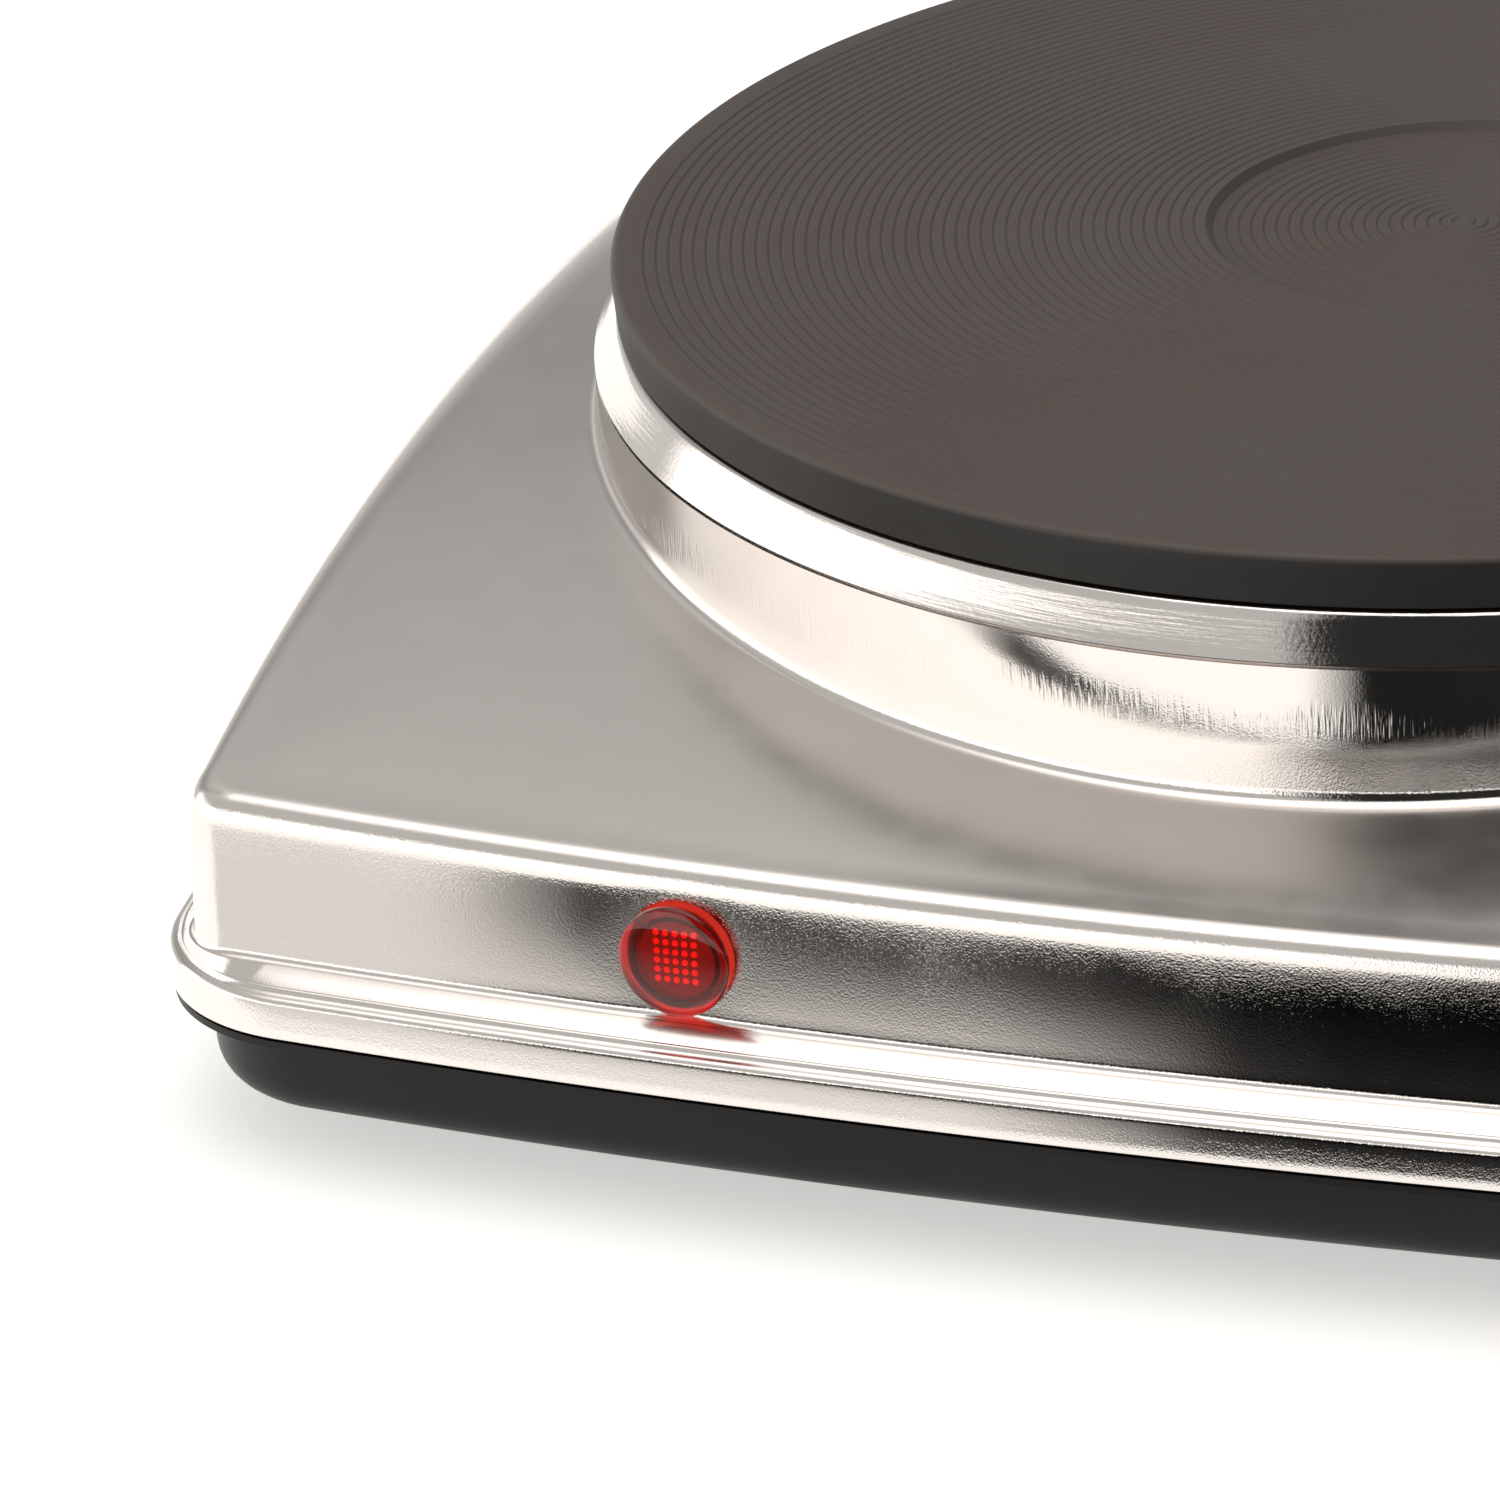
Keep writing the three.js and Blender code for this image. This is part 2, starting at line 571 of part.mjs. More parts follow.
// A steel web across each inside corner of the ledge takes the long screw that comes up through the foot.
function gusset(name, x, y) {
  const edgeAt = (angle) => outlineRadius(angle, LIP_HALF, SHEET + LIP_ROUND);
  const angles = ANGLES.filter((angle) => angle > 0.6 && angle < Math.PI / 2 - 0.6);
  const edge = angles.map((angle) => [edgeAt(angle) * Math.cos(angle), edgeAt(angle) * Math.sin(angle)]);
  const near = FOOT_OFFSET - 14;
  const far = FOOT_OFFSET + 6;
  const corner = [...edge, [near, far], [far, near]];
  const points = corner.map(([across, deep]) => new THREE.Vector2(x * across, y * deep));
  const shape = new THREE.Shape(points);
  const hole = new THREE.Path();
  hole.absarc(x * FOOT_OFFSET, y * FOOT_OFFSET, SCREW_R + FIT_GAP, 0, 2 * Math.PI, x * y > 0);
  shape.holes.push(hole);
  const geometry = new THREE.ExtrudeGeometry(shape, { depth: STRIP, bevelEnabled: false, curveSegments: 6 });
  add(`corner_gusset_${name}`, geometry.translate(0, 0, GUSSET_TOP - STRIP), ZINC);
}

function foot(name, x, y) {
  const top = PAN_BOTTOM - FIT_GAP;
  const seat = 2.5;
  const bore = SCREW_R + FIT_GAP;
  const rubber = turned([
    [5, 0], [FOOT_R - 1, 0], [FOOT_R, 1], [FOOT_R, top], [bore, top], [bore, seat], [5, seat],
  ], 16);
  const screw = turned([
    [0, 0.8], [3.4, 0.8], [4.2, 1.4], [4.2, seat - FIT_GAP], [SCREW_R, seat - FIT_GAP],
    [SCREW_R, GUSSET_TOP + 1.5], [SCREW_R - 0.8, GUSSET_TOP + 2.6], [0, GUSSET_TOP + 2.6],
  ], 12);
  add(`foot_${name}`, rubber.translate(x, y, 0), RUBBER);
  add(`foot_screw_${name}`, screw.translate(x, y, 0), ZINC);
}

// ---- Control knob and the thermostat it turns ---------------------------------------------------------
const SHAFT_END = KNOB_FACE - 4.5;
const SHAFT_FLAT = 1.6;
const WASHER_BACK = WALL_BACK - 0.5;
const BRACKET_BACK = WASHER_BACK - FIT_GAP - STRIP;
const BLADE_OFFSET = -27;      // rivet of the blade stack, from the shaft
const STACK_R = 5;
const RIVET_R = 1.5;

function controlKnob() {
  const bore = SHAFT_R + FIT_GAP;
  const knob = turned([
    [0, KNOB_FACE], [KNOB_FACE_R, KNOB_FACE], [KNOB_R - 2.4, KNOB_FACE - 1.2],
    [KNOB_R - 1.2, KNOB_STANDOFF + 3.4], [KNOB_R, KNOB_STANDOFF + 2.4], [KNOB_R, KNOB_STANDOFF],
    [KNOB_R - 3.8, KNOB_STANDOFF], [KNOB_R - 4.8, KNOB_FACE - 2.6], [SHAFT_R + 3, KNOB_FACE - 2.6],
    [SHAFT_R + 3, KNOB_STANDOFF + 1], [bore, KNOB_STANDOFF + 1], [bore, SHAFT_END + FIT_GAP],
    [0, SHAFT_END + FIT_GAP],
  ], 28);
  const length = KNOB_R * 0.55;
  const middle = KNOB_R - 4.6 - length / 2;
  const groove = box(1.6 + 2 * FIT_GAP, length + 2 * FIT_GAP, 1.6, 0, middle, KNOB_FACE);
  const inlay = box(1.6, length, 0.6, 0, middle, KNOB_FACE - 0.2);
  add('control_knob', cut(knob, groove), BLACK_PLASTIC, knobPlace);
  add('knob_pointer', inlay, WHITE_INLAY, knobPlace);
  const flat = box(8, 4, 10, 0, SHAFT_FLAT + 2, SHAFT_END - 4.5);
  add('thermostat_shaft', cut(disc(SHAFT_R, -8.4, SHAFT_END, 24), flat), BRASS, knobPlace);
  add('knob_clip', box(2.2, 0.5, 7, 0, SHAFT_FLAT + 0.6, SHAFT_END - 4.2), ZINC, knobPlace);
}

function blade(name, low, high, tip, width, material) {
  const shape = new THREE.Shape();
  const tail = BLADE_OFFSET - 11;
  shape.moveTo(tail, -width / 2);
  shape.lineTo(tip, -width / 2);
  shape.lineTo(tip, width / 2);
  shape.lineTo(tail, width / 2);
  const hole = new THREE.Path();
  hole.absarc(BLADE_OFFSET, 0, RIVET_R + FIT_GAP, 0, 2 * Math.PI, true);
  shape.holes.push(hole);
  const geometry = new THREE.ExtrudeGeometry(shape, { depth: high - low, bevelEnabled: false, curveSegments: 6 });
  add(name, geometry.translate(0, 0, low), material, knobPlace);
}

function thermostat() {
  const bore = SHAFT_R + FIT_GAP;
  const bush = turned([
    [bore, -6.8], [BUSH_R + 1.4, -6.8], [BUSH_R + 1.4, BRACKET_BACK - FIT_GAP], [BUSH_R, BRACKET_BACK - FIT_GAP],
    [BUSH_R, 5.4], [bore, 5.4],
  ], 24);
  add('thermostat_bush', bush, BRASS, knobPlace);
  add('thermostat_nut', hexagon(NUT_ACROSS, FIT_GAP, 2.8, BUSH_R + FIT_GAP), ZINC, knobPlace);
  add('thermostat_washer', tube(BUSH_R + FIT_GAP, BUSH_R + 1.4, WASHER_BACK, WALL_BACK, 16), ZINC, knobPlace);
  const plate = box(46, 11, STRIP, -14, 0, BRACKET_BACK + STRIP / 2);
  const holes = [disc(BUSH_R + FIT_GAP, -9, 9), disc(RIVET_R + FIT_GAP, -9, 9, 12).translate(BLADE_OFFSET, 0, 0)];
  add('thermostat_bracket', cut(plate, ...holes), ZINC, knobPlace);
  const spacers = [[-8.5, BRACKET_BACK - FIT_GAP], [-12.5, -9.5]];
  spacers.forEach(([low, high], index) => {
    const ring = tube(RIVET_R + FIT_GAP, STACK_R, low, high, 20).translate(BLADE_OFFSET, 0, 0);
    add(`thermostat_spacer_${index + 1}`, ring, CERAMIC, knobPlace);
  });
  blade('contact_blade', -9.2, -8.8, 4, 6, BRASS);
  blade('bimetal_blade', -13.6, -12.8, 6, 9, ZINC);
  const rivet = turned([
    [0, -15.3], [3, -15.3], [3, -13.9], [RIVET_R, -13.9], [RIVET_R, BRACKET_BACK + STRIP], [0, BRACKET_BACK + STRIP],
  ], 14);
  add('stack_rivet', rivet.translate(BLADE_OFFSET, 0, 0), ZINC, knobPlace);
}

// ---- Indicator lamp --------------------------------------------------------------------------------------
function indicatorLamp() {
  const back = -LAMP_BODY_LENGTH;
  const bore = LAMP_BODY_R - 1.2;
  const face = FIT_GAP + LAMP_HEAD;
  add('lamp_lens', turned([
    [0, face + 0.3], [LAMP_R * 0.55, face + 0.2], [LAMP_R - 0.6, face - 0.4], [LAMP_R, face - 1],
    [LAMP_R, FIT_GAP], [LAMP_BODY_R, FIT_GAP], [LAMP_BODY_R, back], [bore, back], [bore, -0.8], [0, -0.8],
  ], 24), RED_LENS, lampPlace);
  add('lamp_clip', tube(LAMP_BODY_R + FIT_GAP, LAMP_BODY_R + 1.8, WALL_BACK - 0.5, WALL_BACK, 16), ZINC, lampPlace);
  add('neon_bulb', turned([
    [0, -2.6], [1.8, -3], [2.6, -4.2], [2.6, back + 2.4], [1.6, back + 1.6], [0, back + 1.6],
  ], 16), GLASS, lampPlace);
  add('lamp_plug', turned([
    [0, back + 1.2], [bore - FIT_GAP, back + 1.2], [bore - FIT_GAP, back - FIT_GAP], [LAMP_BODY_R, back - FIT_GAP],
    [LAMP_BODY_R, back - 3], [0, back - 3],
  ], 20), BLACK_PLASTIC, lampPlace);
}

// ---- Cord inlet and the wiring inside -----------------------------------------------------------------------
function cordInlet() {
  add('cord_gland', turned([
    [GLAND_BORE_R, -9], [GLAND_BODY_R, -9], [GLAND_BODY_R, FIT_GAP], [GLAND_R, FIT_GAP], [GLAND_R, 2.2],
    [GLAND_R - 0.8, 3], [GLAND_BODY_R, 3], [GLAND_BODY_R - 0.6, GLAND_NOSE], [GLAND_BORE_R, GLAND_NOSE],
  ], 20), BLACK_PLASTIC, glandPlace);
  add('gland_nut', hexagon(12, WALL_BACK - 4, WALL_BACK, GLAND_BODY_R + FIT_GAP), BLACK_PLASTIC, glandPlace);
}

const BLOCK_LOW = FLOOR_Z + FIT_GAP;
const BLOCK_TOP = BLOCK_LOW + BLOCK.height;
const POLES = [-1, 0, 1].map((step) => BLOCK.x + step * BLOCK.pitch);

function terminalBlock() {
  const plain = box(BLOCK.length, BLOCK.width, BLOCK.height, BLOCK.x, BLOCK.y, BLOCK_LOW + BLOCK.height / 2);
  const wells = POLES.map((x) => disc(3, BLOCK_TOP - 6, BLOCK_TOP + 2, 16).translate(x, BLOCK.y, 0));
  const fixing = BLOCK.x - BLOCK.pitch / 2;
  const hole = disc(EARTH.shank + FIT_GAP, 0, BLOCK_TOP + 2, 12).translate(fixing, BLOCK.y, 0);
  add('terminal_block', cut(plain, ...wells, hole), CERAMIC);
  POLES.forEach((x, index) => {
    const screw = disc(2.6, BLOCK_TOP - 6 + FIT_GAP, BLOCK_TOP - 1.6, 14).translate(x, BLOCK.y, 0);
    add(`terminal_screw_${index + 1}`, screw, BRASS);
  });
  const head = BLOCK_TOP + FIT_GAP;
  const blockScrew = turned([
    [0, head + 1.6], [1.8, head + 1.6], [2.5, head + 0.6], [2.5, head], [EARTH.shank, head],
    [EARTH.shank, PAN_BOTTOM - 1.6], [0, PAN_BOTTOM - 1.6],
  ], 14);
  add('block_screw', blockScrew.translate(fixing, BLOCK.y, 0), ZINC);
}

function earthPoint() {
  const head = PAN_BOTTOM - FIT_GAP;
  const screw = turned([
    [0, head - 1.6], [3, head - 1.6], [3.6, head - 0.8], [3.6, head], [EARTH.shank, head],
    [EARTH.shank, FLOOR_Z + 7], [0, FLOOR_Z + 7],
  ], 14);
  const nutLow = FLOOR_Z + FIT_GAP;
  add('earth_screw', screw.translate(EARTH.x, EARTH.y, 0), BRASS);
  add('earth_nut', hexagon(7, nutLow, nutLow + 3, EARTH.shank + FIT_GAP).translate(EARTH.x, EARTH.y, 0), BRASS);
}

function at(place, x, y, z) {
  place.updateMatrix();
  return new THREE.Vector3(x, y, z).applyMatrix4(place.matrix).toArray();
}

function wiring() {
  const entry = BLOCK.y - BLOCK.width / 2 - LEAD_END_GAP;
  const low = BLOCK_LOW + 4;
  const front = BODY_HALF - 30.3;
  const tail = BLADE_OFFSET - 11 - LEAD_END_GAP;
  const tailLive = at(knobPlace, tail, 0, -9);
  const tailSwitched = at(knobPlace, tail, 1.5, -13.2);
  const tailLamp = at(knobPlace, tail, -3, -13.2);
  const [left, right] = TERMINALS.map(([x, y]) => [x, y, PIN_LOW - TONGUE - LEAD_END_GAP]);
  const lampBack = -LAMP_BODY_LENGTH - 3 - LEAD_END_GAP;
  const lampOne = at(lampPlace, -2, 0, lampBack);
  const lampTwo = at(lampPlace, 2, 0, lampBack);
  add('lead_live', wire([
    [POLES[0], entry, low], [POLES[0], entry - 14, low], [8, 20, low], [4, -50, low], [14, -front, low],
    [tailLive[0] - 8, tailLive[1] + 2, low + 6], [tailLive[0] - 3.5, tailLive[1], tailLive[2] - 1.5], tailLive,
  ], LEAD_R), SLEEVE);
  add('lead_element', wire([
    left, [left[0], left[1], left[2] - 8], [-14, 10, 16], [-6, -50, 17], [8, 4 - front, 22],
    [tailSwitched[0] - 8, tailSwitched[1] + 1, tailSwitched[2]], tailSwitched,
  ], LEAD_R), SLEEVE);
  add('lead_neutral', wire([
    right, [right[0], right[1], right[2] - 8], [POLES[1] - 6, entry - 16, low + 5], [POLES[1], entry - 6, low],
    [POLES[1], entry, low],
  ], LEAD_R), SLEEVE);
  add('lead_earth', wire([
    [POLES[2], entry, low], [POLES[2], entry - 8, low], [POLES[2] + 8, entry - 20, low],
    [EARTH.x - 8, EARTH.y, FLOOR_Z + 5.6], [EARTH.x - EARTH.shank - LEAD_END_GAP, EARTH.y, FLOOR_Z + 5.6],
  ], LEAD_R, 14), EARTH_SLEEVE);
  add('lamp_lead_neutral', wire([
    lampOne, [lampOne[0], lampOne[1] + 8, lampOne[2] - 4], [-52, -60, low + 2], [-46, 0, low], [-30, 60, low],
    [BLOCK.x - BLOCK.length / 2 - 12, BLOCK.y, low], [BLOCK.x - BLOCK.length / 2 - LEAD_END_GAP, BLOCK.y, low],
  ], THIN_LEAD_R), SLEEVE);
  add('lamp_lead_live', wire([
    lampTwo, [lampTwo[0], lampTwo[1] + 7, lampTwo[2] - 4], [-28, -front - 3, 22], [0, -front - 9, 23],
    [tailLamp[0] - 8, tailLamp[1], tailLamp[2] - 1], tailLamp,
  ], THIN_LEAD_R), SLEEVE);
}

// ---- Assembly ---------------------------------------------------------------------------------------------------
shell();
trimRing();
hotPlate();
heatingCoil();
cementDisc();
elementCover();
elementTerminals();
heatShield();
clampBar();
centreFixing();
basePan();
CORNERS.forEach(([name, x, y]) => {
  gusset(name, x, y);
  foot(name, x * FOOT_OFFSET, y * FOOT_OFFSET);
});
controlKnob();
thermostat();
indicatorLamp();
cordInlet();
terminalBlock();
earthPoint();
wiring();

export default body;
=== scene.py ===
"""Single-burner electric hot plate: polished shell, grooved cast-iron plate, enamelled pan, lamp and knob."""

import json
import math

import bmesh
import bpy
from bpy.props import FloatProperty, FloatVectorProperty, IntProperty, PointerProperty
from mathutils import Matrix, Vector


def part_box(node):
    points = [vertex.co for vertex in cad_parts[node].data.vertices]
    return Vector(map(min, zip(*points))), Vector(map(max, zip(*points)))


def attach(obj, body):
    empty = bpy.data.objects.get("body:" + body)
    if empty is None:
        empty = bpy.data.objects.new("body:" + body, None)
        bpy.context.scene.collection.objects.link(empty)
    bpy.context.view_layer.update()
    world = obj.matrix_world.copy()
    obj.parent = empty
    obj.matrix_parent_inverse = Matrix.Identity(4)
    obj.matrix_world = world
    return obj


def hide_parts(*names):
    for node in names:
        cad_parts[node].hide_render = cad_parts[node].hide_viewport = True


bl_info = {
    "name": "Hot Plate Burner",
    "version": (1, 0, 0),
    "blender": (4, 5, 0),
    "location": "View3D > Sidebar > Hot Plate",
    "description": "Builds the visible pieces of a single-burner electric hot plate round its frame",
    "category": "Object",
}

MM = 0.001
QUARTER = math.pi / 2

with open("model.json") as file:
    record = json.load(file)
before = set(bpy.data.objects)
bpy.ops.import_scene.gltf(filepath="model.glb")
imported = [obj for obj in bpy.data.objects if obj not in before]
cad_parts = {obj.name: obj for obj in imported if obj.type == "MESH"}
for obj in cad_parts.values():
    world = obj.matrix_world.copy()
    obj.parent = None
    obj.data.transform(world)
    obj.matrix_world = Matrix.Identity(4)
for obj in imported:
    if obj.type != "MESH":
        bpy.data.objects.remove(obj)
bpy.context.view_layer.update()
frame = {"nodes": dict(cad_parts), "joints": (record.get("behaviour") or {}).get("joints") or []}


def middle(node):
    low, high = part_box(node)
    return (low + high) / 2


SHELL_LOW, SHELL_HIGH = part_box("shell")
RING_LOW, RING_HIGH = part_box("trim_ring")
PLATE_LOW, PLATE_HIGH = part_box("hot_plate")
PAN_LOW, PAN_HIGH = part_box("base_pan")
KNOB_JOINT = frame["joints"][0]

AXIS_Y = middle("hot_plate").y
LIP_HALF = (SHELL_HIGH.y - SHELL_LOW.y) / 2
LIP_BOTTOM = SHELL_LOW.z
SEAM_Z = SHELL_HIGH.z
COLLAR_R = (RING_HIGH.x - RING_LOW.x) / 2
PLATE_R = (PLATE_HIGH.x - PLATE_LOW.x) / 2
PLATE_TOP = PLATE_HIGH.z
PAN_BOTTOM = PAN_LOW.z
PAN_TOP = PAN_HIGH.z


# ---- Sizes and colours a user can change --------------------------------------------------------

def linear(code):
    """An sRGB hex colour as the linear red, green, blue and alpha of a shader."""
    shares = [int(code[start:start + 2], 16) / 255 for start in (1, 3, 5)]
    lit = [share / 12.92 if share <= 0.04045 else ((share + 0.055) / 1.055) ** 2.4 for share in shares]
    return (*lit, 1.0)


def size(name, description, millimetres):
    return FloatProperty(name=name, description=description, default=millimetres * MM,
                         unit="LENGTH", precision=5)


def ratio(name, description, default):
    return FloatProperty(name=name, description=description, default=default, min=0.0)


def count(name, description, default):
    return IntProperty(name=name, description=description, default=default, min=1)


def colour(name, description, code):
    return FloatVectorProperty(name=name, description=description, default=linear(code), size=4,
                               subtype="COLOR", min=0.0, max=1.0)


class HotPlateSizes(bpy.types.PropertyGroup):
    """Sizes that shape the visible pieces."""
    gap: size("Gap", "Clearance between pieces that touch", 0.3)
    sheet: size("Sheet", "Thickness of the shell's and the pan's steel", 0.8)
    front_bow: size("Front bow", "Plan radius of the bowed front and back", 1000)
    side_bow: size("Side bow", "Plan radius of the bowed left and right sides", 850)
    side_tuck: size("Side tuck", "Left and right sides nearer the middle than front and back", 3.5)
    corner: size("Corner radius", "Plan radius of the wall's corners", 6)
    corner_spread: ratio("Corner spread", "How fast the corner opens towards the lip", 3)
    ledge_width: size("Ledge width", "Step between the wall and the lip", 4.6)
    ledge_height: size("Ledge height", "Ledge at the wall above the lip's bottom", 6.7)
    ledge_fall: size("Ledge fall", "How much the ledge falls from the wall to the lip", 2)
    lip_round: size("Lip rounding", "Radius between the lip and the ledge", 1)
    hem_round: size("Hem rounding", "Radius of the lip's bottom edge", 0.4)
    bead_height: size("Bead height", "Fine bead pressed along the ledge", 0.14)
    wall_cove: size("Wall cove", "Hollow radius between the ledge and the wall", 1)
    wall_draft: size("Wall draft", "How far the wall leans in by its top", 0.5)
    wall_height: size("Wall height", "From the ledge to the top face at the front and back", 16.6)
    rise: size("Arch rise", "How much higher the top face is along its middle", 12)
    shoulder_front: size("Front shoulder", "Edge rounding where the arch is low", 3)
    shoulder_side: size("Side shoulder", "Edge rounding where the arch is high", 10)
    collar_fillet: size("Collar fillet", "Hollow radius at the collar's foot", 1.6)
    lamp_dish: size("Lamp dish", "Depth of the pressed dish round the lamp", 0.4)
    lamp_dish_reach: size("Lamp dish reach", "Radius of the pressed dish round the lamp", 10)
    plate_rim: size("Plate rim", "Height of the plate's rim", 5.8)
    plate_taper: size("Plate taper", "How much the rim narrows downwards", 0.4)
    plate_land: size("Plate land", "Plain land round the plate's edge", 2.6)
    recess: size("Recess radius", "Radius of the plate's sunk centre", 28)
    recess_depth: size("Recess depth", "Depth of the plate's sunk centre", 0.8)
    groove_pitch: size("Groove pitch", "From one turned groove to the next", 1.36)
    groove_depth: size("Groove depth", "Depth of a turned groove", 0.15)
    skirt_wall: size("Skirt wall", "Wall under the plate that holds the element", 5)
    skirt_depth: size("Skirt depth", "Depth of that wall under the rim", 10.5)
    web: size("Plate web", "Iron above the element", 4.2)
    pan_inset: size("Pan inset", "Pan's wall inside the lip", 4.2)
    pan_round: size("Pan rounding", "Radius of the pan's bottom edge", 4.5)
    vent_length: size("Vent length", "Length of a vent slot", 16)
    vent_width: size("Vent width", "Width of a vent slot", 4.5)
    vent_ring: size("Vent ring", "Radius of the ring of vents", 62)
    vents: count("Vents", "Vent slots in the pan", 8)
    lens_radius: size("Lens radius", "Radius of the lamp's lens", 6)
    lens_body: size("Lens body", "Radius of the lens's body in its hole", 4.9)
    lens_crown: size("Lens crown", "How far the lens stands off the wall", 1.75)
    dimple_pitch: size("Dimple pitch", "From one dimple of the lens to the next", 0.98)
    dimple_columns: count("Dimple columns", "Columns of dimples in the lens", 5)
    dimple_rows: count("Dimple rows", "Rows of dimples in the lens", 6)
    knob_radius: size("Knob radius", "Radius of the knob's skirt", 17)
    knob_standoff: size("Knob standoff", "Back of the knob off the wall", 7.6)
    knob_depth: size("Knob depth", "Depth of the knob", 17)
    knob_flute: size("Flute depth", "Depth of the knob's grip flutes", 0.55)
    knob_flutes: count("Flutes", "Grip flutes round the knob", 30)
    gland_radius: size("Gland radius", "Radius of the gland's flange", 6.8)
    gland_body: size("Gland body", "Radius of the gland's body", 5.2)
    gland_bore: size("Gland bore", "Radius of the gland's bore", 3.6)
    gland_nose: size("Gland nose", "How far the gland stands off the wall", 7.5)


class HotPlateColours(bpy.types.PropertyGroup):
    """Colours of the finishes."""
    steel: colour("Polished steel", "Bright pressed steel", "#EFEAE6")
    iron: colour("Coated iron", "Heatproof black on the plate", "#5B524C")
    iron_side_shade: colour("Iron side shade", "Painted shade on faces turned away from up", "#1C1916")
    # painted shade: the colour the plate's upright and lower faces take in place of their lighting
    iron_dust: colour("Iron specks", "Paler specks in the plate's coating", "#7A706A")
    enamel: colour("Stove enamel", "Black enamel of the pan", "#15120F")
    plastic: colour("Black plastic", "Knob, gland and plugs", "#1B1917")
    inlay: colour("White inlay", "Pointer of the knob", "#E9E6DF")
    lens: colour("Red lens", "Clear red polycarbonate", "#E23A2C")
    rubber: colour("Rubber", "Feet", "#232120")
    zinc: colour("Zinc plate", "Plated steel fittings", "#B4B5B0")
    brass: colour("Brass", "Turned brass", "#C29B55")
    ceramic: colour("Steatite", "Unglazed ceramic", "#E2DACB")
    sleeve: colour("Glass sleeve", "Braided glass fibre", "#DDD7C8")
    earth: colour("Earth sleeve", "Green and yellow sleeve", "#6E9A34")
    floor: colour("Floor", "Pale studio floor", "#FBFAF8")


def sizes():
    return bpy.context.scene.hot_plate_sizes


def colours():
    return bpy.context.scene.hot_plate_colours


# ---- Outline and arch of the shell --------------------------------------------------------------

class Outline:
    """The outline of bowed sides and rounded corners, and the arched top face."""

    def __init__(self):
        given = sizes()
        self.half = LIP_HALF - given.ledge_width
        self.bow = given.front_bow
        self.front_centre = given.front_bow - self.half
        self.side_bow = given.side_bow
        self.side_centre = given.side_bow - self.half + given.side_tuck
        self.corner = given.corner
        self.spread = given.corner_spread
        self.ledge = LIP_BOTTOM + given.ledge_height
        self.ledge_low = self.ledge - given.ledge_fall
        self.edge = self.ledge + given.wall_height
        self.rise = given.rise
        self.shoulders = (given.shoulder_front, given.shoulder_side)

    def arcs(self, half, depth=0.0):
        """A quarter's side, corner and front arcs: each a centre, a radius and the angle where it ends."""
        grow = half - self.half
        corner = self.corner + self.spread * max(grow, 0)
        side = self.side_bow + grow
        front = self.bow + grow
        span = math.hypot(self.side_centre, self.front_centre)
        to_side = side - corner
        to_front = front - corner
        along = (to_side ** 2 - to_front ** 2 + span ** 2) / (2 * span)
        across = math.sqrt(to_side ** 2 - along ** 2)
        x = (along * self.side_centre + across * self.front_centre) / span - self.side_centre
        y = (across * self.side_centre - along * self.front_centre) / span
        side_share = (side - depth) / to_side
        front_share = (front - depth) / to_front
        side_end = math.atan2(y * side_share, (x + self.side_centre) * side_share - self.side_centre)
        corner_end = math.atan2((y + self.front_centre) * front_share - self.front_centre, x * front_share)
        return ((-self.side_centre, 0.0, side - depth, side_end), (x, y, corner - depth, corner_end),
                (0.0, -self.front_centre, front - depth, QUARTER))

    def radius(self, angle, half, depth=0.0):
        """From the plate's axis to the outline of a half width, set in by a depth, at an angle."""
        across_x = abs(math.cos(angle))
        across_y = abs(math.sin(angle))
        fold = math.atan2(across_y, across_x)
        side, corner, front = self.arcs(half, depth)
        x, y, reach, _ = side if fold < side[3] else corner if fold < corner[3] else front
        along = x * across_x + y * across_y
        return along + math.sqrt(reach ** 2 - x ** 2 - y ** 2 + along ** 2)

    def angles(self, side_steps, corner_steps):
        """Angles round the outline, closer together in the corners."""
        side, corner, _ = self.arcs(LIP_HALF)
        wall_side, wall_corner, _ = self.arcs(self.half)
        stops = ((0.0, side_steps), (side[3], corner_steps // 3), (wall_side[3], corner_steps),
                 (wall_corner[3], corner_steps // 3), (corner[3], side_steps), (QUARTER, 0))
        quarter = []
        for (start, steps), (end, _) in zip(stops, stops[1:]):
            quarter += [start + (end - start) * step / steps for step in range(steps)]
        half_turn = quarter + [QUARTER] + [math.pi - angle for angle in reversed(quarter[1:])]
        return half_turn + [angle + math.pi for angle in half_turn]

    def share(self, y):
        """0 along the front and back edges and 1 along the middle of the arch."""
        return math.cos(QUARTER * min(abs(y), self.half) / self.half)

    def arch(self, y):
        return self.edge + self.rise * self.share(y)

    def shoulder(self, y):
        front, side = self.shoulders
        return front + (side - front) * self.share(y)

    def wall_place(self, x, z, back=False):
        """Where a fitting sits on the front or back wall, with its own +Z pointing straight out."""
        side = 1 if back else -1
        lean = math.asin(x / self.bow)
        reach = math.sqrt(self.bow ** 2 - x ** 2) - self.front_centre
        turn = Matrix.Rotation(-side * lean, 4, "Z") @ Matrix.Rotation(-side * QUARTER, 4, "X")
        return Matrix.Translation((x, AXIS_Y + side * reach, z)) @ turn


# ---- Modelling helpers -------------------------------------------------------------------------

def start_modelling():
    """Nothing selected, in object mode."""
    if bpy.context.object and bpy.context.object.mode != "OBJECT":
        bpy.ops.object.mode_set(mode="OBJECT")
    bpy.ops.object.select_all(action="DESELECT")


def only(piece):
    start_modelling()
    piece.select_set(True)
    bpy.context.view_layer.objects.active = piece


